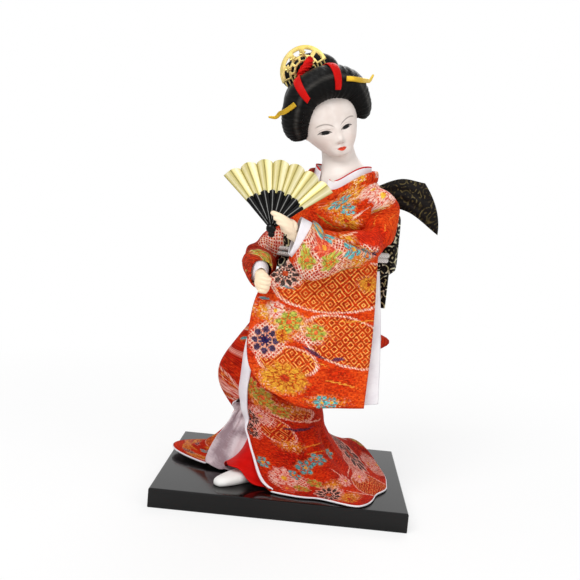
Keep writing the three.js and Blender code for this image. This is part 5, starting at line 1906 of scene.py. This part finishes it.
@dataclass
class Hands:
    """The left hand that grips the fan and the right hand closed before the hip."""

    looks: Looks
    voxel: float = 0.32
    grip: tuple[tuple[Row, ...], ...] = (
        ((-6.5, -56.5, 168, 2.5), (-11, -60.7, 171.2, 2.1), (-15.5, -61.8, 173.3, 1.8),
         (-19.2, -61.4, 174.7, 1.2)),
        ((-6, -57, 166.4, 2.5), (-10.6, -61, 169.2, 2.0), (-14.6, -62, 171, 1.7), (-17.2, -61.2, 171.6, 1.3)),
        ((-5.6, -57, 165, 2.4), (-9.6, -60.8, 167.2, 1.9), (-13, -61.6, 168.7, 1.6),
         (-15.2, -60.8, 169.2, 1.3)),
        ((-5.2, -56.4, 163.8, 2.2), (-8.4, -59.8, 165.4, 1.8), (-11, -60.6, 166.8, 1.5),
         (-13, -60.2, 167.4, 1.2)),
        ((-6.6, -52, 165.6, 2.4), (-9, -54, 169, 2.0), (-12.8, -54, 171.8, 1.6), (-14.6, -54.4, 173, 1.2)),
    )

    def finger(self, *line: Row) -> Array:
        """Returns one finger along a line of places and radii."""
        rows = [(x, y, z, r, r) for x, y, z, r in line]
        return limb(rows, 20, 26, caps=(0.08, 0.12))

    def mass(self, at: Array, size: Row) -> Array:
        """Returns an egg for the mass of a palm."""
        return egg(at, size, 32, 24, pole=2)

    def wrist(self, arm: Sequence[Row], far: float, tip: float) -> Array:
        """Returns the wrist from inside the cuff out to the palm."""
        at, along = end_of(arm)
        rows = [(*(at + along * d), r, r) for d, r in ((-1.0, 3.4), (far / 2, 3.7), (far, tip))]
        return limb(rows, 28, 20, caps=(0.05, 0.1))

    def build(self) -> None:
        """Makes both hands."""
        at, along = end_of(LEFT_ARM)
        palm = at + along * 10
        parts = [
            self.wrist(LEFT_ARM, 9, 3.9),
            self.mass(palm + np.array((0.6, -1.4, 2.6)), (5.4, 4.0, 4.9)),
            *(self.finger(*line) for line in self.grip),
        ]
        piece = MAKER.fuse("left_hand_skin", parts, self.voxel, 3)
        MAKER.dress(piece, Dressing(self.looks.hand, "skin", "left_hand", "left_hand"))
        at, along = end_of(RIGHT_ARM)
        fist = at + along * 8
        parts = [
            self.wrist(RIGHT_ARM, 8, 4.2),
            self.mass(fist + np.array((0.6, -0.4, -2.6)), (4.9, 3.7, 6.4)),
            self.mass(fist + np.array((1.6, -0.2, -6.4)), (3.8, 2.8, 3.6)),
        ]
        for drop, reach, r in ((-0.2, 7.2, 1.7), (-2.8, 7.0, 1.75), (-5.4, 6.4, 1.65), (-7.8, 5.2, 1.45)):
            x, y, z = fist + np.array((-1.2, -2.6, drop))
            knuckle = (x + reach * 0.5, y - 0.7, z - 0.4, r)
            tip = (x + reach, y + 1.6, z - 0.7, r * 0.9)
            parts.append(self.finger((x, y + 0.6, z, r), knuckle, tip))
        piece = MAKER.fuse("right_hand_skin", parts, self.voxel, 3)
        MAKER.dress(piece, Dressing(self.looks.hand, "skin", "right_hand", "right_hand"))


@dataclass
class Head:
    """Face and neck, wig and top knot, comb, tie, ribbons and pins."""

    looks: Looks
    at: Spot = (9.6, -8.6, 231.9)
    nod: float = 15.0
    tilt: float = -20.6
    turn: float = 19.0
    neck_base: Spot = (23.5, -1.5, 196.0)
    neck_axis: Spot = (-0.28, -0.17, 1.0)
    width: float = 20.4 / 15.8
    rings: Track = track(
        (-18.2, 3.2, -14.8, -7), (-16.2, 5.9, -16.6, -2), (-12, 8.8, -17.2, 4), (-7, 11.7, -17, 10),
        (0, 14.7, -17, 17), (8, 15.8, -17.2, 20), (15, 15, -15.8, 19.5), (21, 11.6, -11, 16),
        (24.5, 5, -4, 9),
    )
    roll_rows: tuple[Row, ...] = (
        (-19.4, 0.5, -4, 4.6), (-19.8, 0, 0.5, 7.8), (-21, -3, 9.5, 9.8), (-15.2, -7.5, 23.3, 10.4),
        (0, -10, 28.8, 10.6), (15.5, -7.5, 23.3, 10.2), (22.2, -3, 9.5, 8.6),
        (21.6, 0, 5.2, 7), (21, 0.5, 1.5, 4),
    )
    roll_length: float = 133.0
    ribbon_width: float = 3.6
    comb_at: Spot = (-6.8, 6.4, 37.2)
    comb_radius: float = 16.5
    comb_lean: float = 16.0

    def __post_init__(self) -> None:
        """Works out the head's own directions and the line of its front roll."""
        turns = ((self.tilt, "Y"), (self.turn, "Z"), (self.nod, "X"))
        tilt, turn, nod = (Matrix.Rotation(math.radians(angle), 3, axis) for angle, axis in turns)
        self.axes = np.array(tilt @ turn @ nod)
        last = len(self.roll_rows) - 1
        self.roll = Track([(i / last, *row) for i, row in enumerate(self.roll_rows)])

    def worn(self, points: Array) -> Array:
        """Returns points of the head's own frame above the board."""
        return points @ self.axes.T + np.array(self.at)

    def face(self, u: Array, v: Array) -> Array:
        """Returns points of the head in its own frame.

        Args:
            u: the share of the way round.
            v: the share of the way up from the chin.
        """
        z = mix(*self.rings.at[[0, -1]], v)
        a = 2 * np.pi * u
        half, near, far = np.moveaxis(self.rings(z), -1, 0)
        pole = clamp(np.minimum(v, 1 - v) / 0.02) ** 0.5
        full = boxy(np.cos(a), 0.84)
        x = half * self.width * full * pole + 1.3 * ease((2 - z) / 12)
        y = (near + far) / 2 + (far - near) / 2 * np.sin(a) * pole
        ahead = ease(-np.sin(a) * 2.5)
        side = np.abs(x)
        nose = 1.1 * bell(x, 1.9) * ease((z + 9) / 4) * ease((5 - z) / 6)
        nose = nose + 2.5 * bell(x, 2.1) * bell(z + 6.8, 2.1)
        nose = nose + 0.7 * bell(side - 2.2, 1.2) * bell(z + 7.8, 1.2)
        socket = -0.55 * bell(side - 7.2, 4.0) * bell(z - 0.2, 2.8)
        socket = socket + 0.45 * bell(side - 7.3, 3.4) * bell(z - 1.4, 1.1)
        lips = 0.75 * bell(x, 2.8) * bell(z + 11.3, 1.0) + 0.9 * bell(x, 2.3) * bell(z + 13.0, 1.2)
        lips = lips - 0.5 * bell(x, 3.2) * bell(z + 12.0, 0.5)
        chin = 1.0 * bell(x, 4.5) * bell(z + 15.8, 2.4)
        cheek = 0.5 * bell(side - 9.0, 5.0) * bell(z + 6.5, 5.5)
        return place(x, y - ahead * (nose + socket + lips + chin + cheek), z)

    def on_roll(self, along: Array, around: Array, grow: Any = 0.0) -> Array:
        """Returns points on the front roll of the wig, in the head's frame.

        Args:
            along: the share of the way along the roll, from the doll's right.
            around: the direction round the roll, in degrees from its front.
            grow: how far outside the roll they lie.
        """
        row = self.roll(along)
        step = self.roll(np.minimum(along + 1e-3, 1)) - self.roll(np.maximum(along - 1e-3, 0))
        tangent = unit(step[..., :3])
        ahead = unit(np.array((0.0, -1.0, 0.0)) + tangent * tangent[..., 1:2])
        rise = -np.cross(ahead, tangent)
        a = np.radians(around)[..., None]
        reach = (row[..., 3] + grow)[..., None]
        return row[..., :3] + ahead * reach * np.cos(a) - rise * reach * np.sin(a)

    def build(self) -> None:
        """Makes the head and all it wears."""
        u, v = net(140, 120)
        own = self.face(u, v)
        uv = np.stack([own[..., 0], own[..., 2]], -1)
        MAKER.loft("head_face", self.worn(own), Dressing(self.looks.face, "skin", "head", "head"), uv)
        self.neck()
        self.wig()
        self.comb()
        self.cloths()
        self.pins()

    def neck(self) -> None:
        """Turns the neck about its own line."""
        outline = Track([
            (-6, 12.6), (-3, 15.6), (0, 17), (4, 17.2), (8.5, 16), (11, 14.6), (14, 12.8), (18, 11.3),
            (26, 10.4), (28, 10.4),
        ])
        a, v = turned(64, 60)
        h = mix(*outline.at[[0, -1]], v)
        r = outline.one(h) * clamp(np.minimum(v, 1 - v) / 0.02) ** 0.5
        line = unit(np.array(self.neck_axis))
        side = unit(np.cross(np.array((0.0, 1.0, 0.0)), line))
        rear = np.cross(line, side)
        points = np.array(self.neck_base) + line * h[..., None]
        points = points + side * (r * np.cos(a))[..., None] + rear * (0.9 * r * np.sin(a))[..., None]
        MAKER.loft("head_neck", points, Dressing(self.looks.neck, "skin", "head", "head"))

    def wig(self) -> None:
        """Makes the front roll, the cap, the nape and the top knot."""
        u, v = net(96, 200)
        caps = quarter(1 - np.minimum(v, 1 - v) / 0.035)
        row = self.roll(v)
        comb_line = 0.12 * np.sin(v * 260) + 0.2 * ripple(u, v, 51, (0, 1), (20, 60))
        grow = row[..., 3] * (caps - 1) + comb_line * caps
        own = self.on_roll(v, 360 * u, grow)
        MAKER.loft("wig_roll", self.worn(own), Dressing(self.looks.highlighted_hair, "hair", "wig", "head"))
        eggs = (
            ("wig_cap", (0, 7, 16), (24, 20, 21), "wig"),
            ("wig_nape", (0, 13.5, 2), (16, 10.5, 12.5), "wig"),
            ("top_knot_hair", (1, 17, 35), (20, 8.5, 12), "top_knot"),
        )
        for name, centre, size, node in eggs:
            own = egg(centre, size, 72, 60, pole=0)
            MAKER.loft(name, self.worn(own), Dressing(self.looks.hair, "hair", node, "head"))

    def comb_place(self, points: Array) -> Array:
        """Returns points of the comb's own plane above the board."""
        lean = math.radians(-self.comb_lean)
        x, y, z = np.moveaxis(points, -1, 0)
        cos, sin = math.cos(lean), math.sin(lean)
        leaning = place(x * cos + z * sin, y, z * cos - x * sin)
        return self.worn(leaning + np.array(self.comb_at))

    def comb(self) -> None:
        """Pierces and rims the arch of the comb, and gives it rosettes and teeth."""
        bands = np.array((0.36, 0.44, 0.56, 0.63, 0.83, 1.0)) * self.comb_radius
        cells, slots = 5, 6
        angle = np.linspace(0, np.pi, cells * slots + 1)
        r, a = np.meshgrid(bands, angle, indexing="ij")
        own = place(r * np.cos(a), -0.7, r * 0.96 * np.sin(a))
        piece = MAKER.surface("comb_arch", self.comb_place(own))
        MAKER.take(piece)
        bpy.ops.object.mode_set(mode="EDIT")
        bpy.ops.mesh.select_mode(type="FACE")
        bpy.ops.mesh.select_all(action="DESELECT")
        bpy.ops.object.mode_set(mode="OBJECT")
        across = len(bands) - 1
        for index, polygon in enumerate(piece.data.polygons):
            band, slot = index % across, index // across % slots
            inner = band == 1 and slot not in (2, 3)
            polygon.select = inner or (band == 3 and slot not in (0, slots - 1))
        bpy.ops.object.mode_set(mode="EDIT")
        bpy.ops.mesh.delete(type="FACE")
        bpy.ops.object.mode_set(mode="OBJECT")
        MAKER.modify(piece, "SOLIDIFY", thickness=1.4 * MM, offset=0.0)
        MAKER.modify(piece, "BEVEL", width=0.18 * MM, segments=2, limit_method="ANGLE")
        parts = [piece]
        for spot in np.radians((72, 108, 144)):
            centre = np.array((math.cos(spot), 0, math.sin(spot) * 0.96)) * self.comb_radius * 0.7
            parts.append(self.rosette(centre))
        for x in (-14.5, -12, -9.5, -7.5, 7.5, 9.5, 12, 14.5):
            rows = [(x, -0.7, 1.0, 0.55, 0.6), (x, -0.7, -1.5, 0.5, 0.55), (x, -0.7, -4.0, 0.3, 0.4)]
            tooth = limb(rows, 8, 8, up=(0, 1, 0), caps=(0.1, 0.2))
            parts.append(MAKER.shell("comb_tooth", self.comb_place(tooth)))
        whole = MAKER.join("comb_gold", parts)
        MAKER.dress(whole, Dressing(self.looks.pale_gold, "gold", "comb", "head"), 40)

    def rosette(self, centre: Array) -> Piece:
        """Returns one stamped flower on the front of the comb."""
        a, v = turned(36, 8)
        reach = 2.5 * v * (0.8 + 0.2 * np.cos(6 * a))
        dome = -1.5 - 0.7 * (1 - v**2) * (0.6 + 0.4 * np.cos(6 * a) * v)
        front = place(centre[0] + reach * np.cos(a), dome, centre[2] + reach * np.sin(a))
        rear = place(centre[0] + 0 * a[:, :1], -0.6, centre[2] + 0 * a[:, :1])
        rim = front[:, -1:] * np.array((1, 0, 1)) + np.array((0, -0.6, 0))
        return MAKER.shell("comb_rosette", self.comb_place(np.concatenate([front, rim, rear], axis=1)))

    def cloths(self) -> None:
        """Ties the crumpled cloth at the comb and lays the two ribbons over the roll."""
        rows = [(-13, 1.2, 34.6, 1.0, 1.6), (-10.5, 0.4, 37.4, 1.5, 2.3), (-7.5, 0.2, 39.8, 1.8, 2.6),
                (-4.5, 0.8, 42.4, 1.9, 2.7), (-2.4, 1.8, 45.2, 1.0, 1.4)]
        own = limb(rows, 48, 60, up=(1, 0, 0), caps=(0.08, 0.1))
        u, v = net(48, 60)
        own = own - outward(own) * (0.45 * ripple(u, v, 61, (2, 6), (3, 9)))[..., None]
        dressing = Dressing(self.looks.red, "red_silk", "hair_tie", "head")
        piece = MAKER.loft("hair_tie_cloth", self.worn(own), dressing)
        for name, rear, fore, low in (("left_ribbon", 0.524, 0.524, -24), ("right_ribbon", 0.412, 0.378, -4)):
            u, v = net(60, 8)
            along = mix(fore, rear, u) + (v - 0.5) * self.ribbon_width / self.roll_length
            crown = 0.5 + 0.25 * np.sin(np.pi * v)
            own = self.on_roll(along, mix(low, 118, u), crown)
            dressing = Dressing(self.looks.red, "red_silk", name, "head")
            MAKER.cloth(name + "_band", self.worn(own), 0.6, dressing, "laid", ["wig_roll"])

    def pins(self) -> None:
        """Bends the two flat pins over the roll and out to their tips."""
        places = ((0.343, 0.322, 0.302), (33.0, 48, 66), (1.0, 1, 1.6))
        right = self.on_roll(*(np.array(row) for row in places))
        right_line = [*right, (-32, -5.5, 16.4), (-34.4, -3, 14.4), (-38.5, -1, 15.5)]
        left_line = [(9.5, -20.6, 29.4), (15, -20.0, 27.9), (20.8, -17.4, 25.9), (26.4, -12.5, 24.4),
                     (30.4, -8.4, 23.6), (34.6, -6.4, 26.6)]
        for name, line in (("right_hairpin", right_line), ("left_hairpin", left_line)):
            widths = (1.6, 1.6, 1.6, 1.4, 1.1, 0.6)
            rows = [(*p, 0.48, wide) for p, wide in zip(line, widths)]
            own = limb(rows, 20, 90, caps=(0.015, 0.03), square=0.55)
            MAKER.loft(name + "_gold", self.worn(own), Dressing(self.looks.gold, "gold", name, "head"))


@dataclass
class Fan:
    """The open fan: pleated gold leaf, black sticks and a knob at the pivot."""

    looks: Looks
    at: Spot = (-18.2, -58.0, 165.0)
    radius: float = 42.2
    inner: float = 21.5
    start: float = 35.0
    spread: float = 102.0
    lobes: int = 7

    def point(self, u: Array, r: Array, ahead: Array) -> Array:
        """Returns points at a share of the spread, a radius, and a distance towards the viewer."""
        a = np.radians(self.start + self.spread * u)
        return place(self.at[0] + r * np.cos(a), self.at[1] - ahead, self.at[2] + r * np.sin(a))

    def build(self) -> None:
        """Makes the fan."""
        u, v = net(self.lobes * 18, 26)
        t = clamp(np.mod(u * self.lobes, 1))
        t = np.where(u >= 1, 1.0, t)
        crown = np.sin(np.pi * t) ** 0.6
        inward = ease(np.minimum(u, 1 - u) * self.lobes * 2 - 0.9)
        rim = self.radius - 1.6 * np.sin(np.pi * u) - 2.4 * (1 - crown) * inward
        r = mix(self.inner - 0.5, rim, v)
        ridge = mix(0.8, 1.7, v) * (1 - 2 * np.abs(2 * t - 1))
        points = self.point(u, r, ridge)
        uv = np.stack([u * self.spread, r], -1)
        piece = MAKER.surface("fan_leaf_gold", points, uv)
        MAKER.modify(piece, "SOLIDIFY", thickness=0.7 * MM, offset=0.0)
        MAKER.dress(piece, Dressing(self.looks.card, "gold_card", "fan_leaf", "fan"), 50)
        self.sticks()
        self.knob()

    def sticks(self) -> None:
        """Sets the tapered sticks side by side from the pivot to the leaf."""
        parts = []
        count = self.lobes + 1
        for i in range(count):
            middle = (i + 0.5) / count
            a, v = turned(18, 30)
            r = mix(1.0, self.inner + 1.6, v)
            half = mix(0.9, self.spread / count * math.pi / 180 * (self.inner + 1.6) * 0.49, v**0.9)
            end = quarter((v - 0.93) / 0.07)
            end = end * clamp(v / 0.02) ** 0.5
            across = half * end * boxy(np.cos(a), 0.7)
            deep = mix(0.7, 1.3, v) * end * np.sin(a)
            layer = 0.25 * (1 if i % 2 else -1)
            aim = math.radians(self.start + self.spread * middle)
            points = place(
                self.at[0] + r * math.cos(aim) - across * math.sin(aim),
                self.at[1] - layer - deep,
                self.at[2] + r * math.sin(aim) + across * math.cos(aim),
            )
            parts.append(MAKER.shell("fan_stick", points, np.stack([0.5 + 0.5 * across / half, r], -1)))
        whole = MAKER.join("fan_sticks", parts)
        MAKER.dress(whole, Dressing(self.looks.stick, "black_sticks", "fan_ribs", "fan"), 50)

    def knob(self) -> None:
        """Turns the knob at the pivot and hangs a bead below it."""
        beads = (
            ((0, -1.6, 0), (3.0, 2.2, 3.0)),
            ((0.4, -1.2, -3.4), (2.1, 1.8, 2.0)),
            ((0, 1.4, 0), (2.2, 1.2, 2.2)),
        )
        nets = [egg(np.add(self.at, offset), size, 28, 16, pole=2) for offset, size in beads]
        whole = MAKER.join("fan_knob", [MAKER.shell("fan_bead", points) for points in nets])
        MAKER.dress(whole, Dressing(self.looks.bead, "black_sticks", "fan_rivet", "fan"))


# The stage

@dataclass
class Studio:
    """A plain pale floor, soft light and the photograph's camera."""

    eye: Spot = (13.77, -519.65, 189.7)
    forward: Spot = (-0.0380, 0.9939, -0.1033)
    up: Spot = (-0.0903, 0.0995, 0.9909)
    focal_pixels: float = 775.0
    sensor: float = 36.0
    ambient: float = 0.39

    def camera(self) -> None:
        """Sets the camera where the photograph was taken from."""
        ahead = Vector(self.forward).normalized()
        right = ahead.cross(Vector(self.up)).normalized()
        above = right.cross(ahead)
        data = bpy.data.cameras.new("photo_camera")
        data.sensor_width = self.sensor
        data.lens = self.sensor * self.focal_pixels / PHOTO_SIZE
        data.clip_start = 0.01
        data.clip_end = 50
        camera = bpy.data.objects.new("photo_camera", data)
        bpy.context.scene.collection.objects.link(camera)
        turn = Matrix((right, above, -ahead)).transposed().to_4x4()
        camera.matrix_world = Matrix.Translation(Vector(self.eye) * MM) @ turn
        bpy.context.scene.camera = camera

    def lamp(self, name: str, at: Row, aim: Row, size: float, power: float) -> None:
        """Hangs one soft lamp.

        Args:
            name: its name.
            at: where it hangs, in metres.
            aim: what it points at.
            size: its width.
            power: its power in watts.
        """
        data = bpy.data.lights.new(name, "AREA")
        data.shape = "DISK"
        data.size = size
        data.energy = power
        lamp = bpy.data.objects.new(name, data)
        bpy.context.scene.collection.objects.link(lamp)
        lamp.location = at
        lamp.rotation_euler = (Vector(aim) - Vector(at)).to_track_quat("-Z", "Y").to_euler()

    def world(self) -> None:
        """Makes a white surround that lights the doll softly."""
        world = bpy.data.worlds.new("studio")
        bpy.context.scene.world = world
        s = Shader("studio", world)
        camera = s.add("ShaderNodeLightPath", {}, {}, "Is Camera Ray")
        rays = camera.socket.node.outputs
        mirrored = Wire(s, rays["Is Glossy Ray"]).high(Wire(s, rays["Is Transmission Ray"]))
        sockets = {"Value": camera.high(mirrored), "To Min": self.ambient, "To Max": 1.0}
        strength = s.add("ShaderNodeMapRange", {}, sockets, "Result")
        sky = s.add("ShaderNodeBackground", {}, {"Color": (1, 1, 1), "Strength": strength})
        s.add_output(sky, "World")

    def floor(self) -> None:
        """Lays a pale floor that shows as white and keeps the shadow."""
        bpy.ops.object.select_all(action="DESELECT")
        bpy.ops.mesh.primitive_plane_add(size=6)
        piece = bpy.context.object
        piece.name = "studio_floor"
        s = Shader("pale_floor")
        path = s.add("ShaderNodeLightPath", {}, {}, "Is Camera Ray")
        matt = s.add("ShaderNodeBsdfDiffuse", {}, {"Color": (0.94, 0.94, 0.94)})
        glow = s.add("ShaderNodeEmission", {}, {"Color": (1, 1, 1), "Strength": 1.0})
        here = s.add("ShaderNodeTexCoord", {}, {}, "Object")
        far = s.add("ShaderNodeMapRange", {}, {"Value": s.length(here), 1: 0.1, 2: 0.5, 3: 0.7, 4: 1.0})
        s.add_output(s.add("ShaderNodeMixShader", {}, {0: path * far, 1: matt, 2: glow}))
        piece.data.materials.append(s.material)

    def build(self) -> None:
        """Sets the stage."""
        self.camera()
        self.world()
        self.floor()
        aim = (0.0, 0.0, 0.15)
        self.lamp("key_lamp", (-0.45, -0.85, 1.05), aim, 0.7, 11.2)
        self.lamp("fill_lamp", (0.8, -0.7, 0.5), aim, 0.9, 3.3)
        self.lamp("rim_lamp", (0.3, 0.8, 0.9), aim, 0.7, 4.0)
        bpy.context.scene.view_settings.view_transform = "Standard"


def main() -> None:
    """Builds the doll in order."""
    logging.basicConfig(level=logging.INFO, format="%(message)s")
    bpy.ops.object.select_all(action="DESELECT")
    Studio().build()
    looks = Looks()
    Board().dress()
    for part in (Skirts, Feet, UpperDress, Sash, Sleeves, Hands, Head, Fan):
        part(looks).build()


if __name__ == "__main__":
    main()
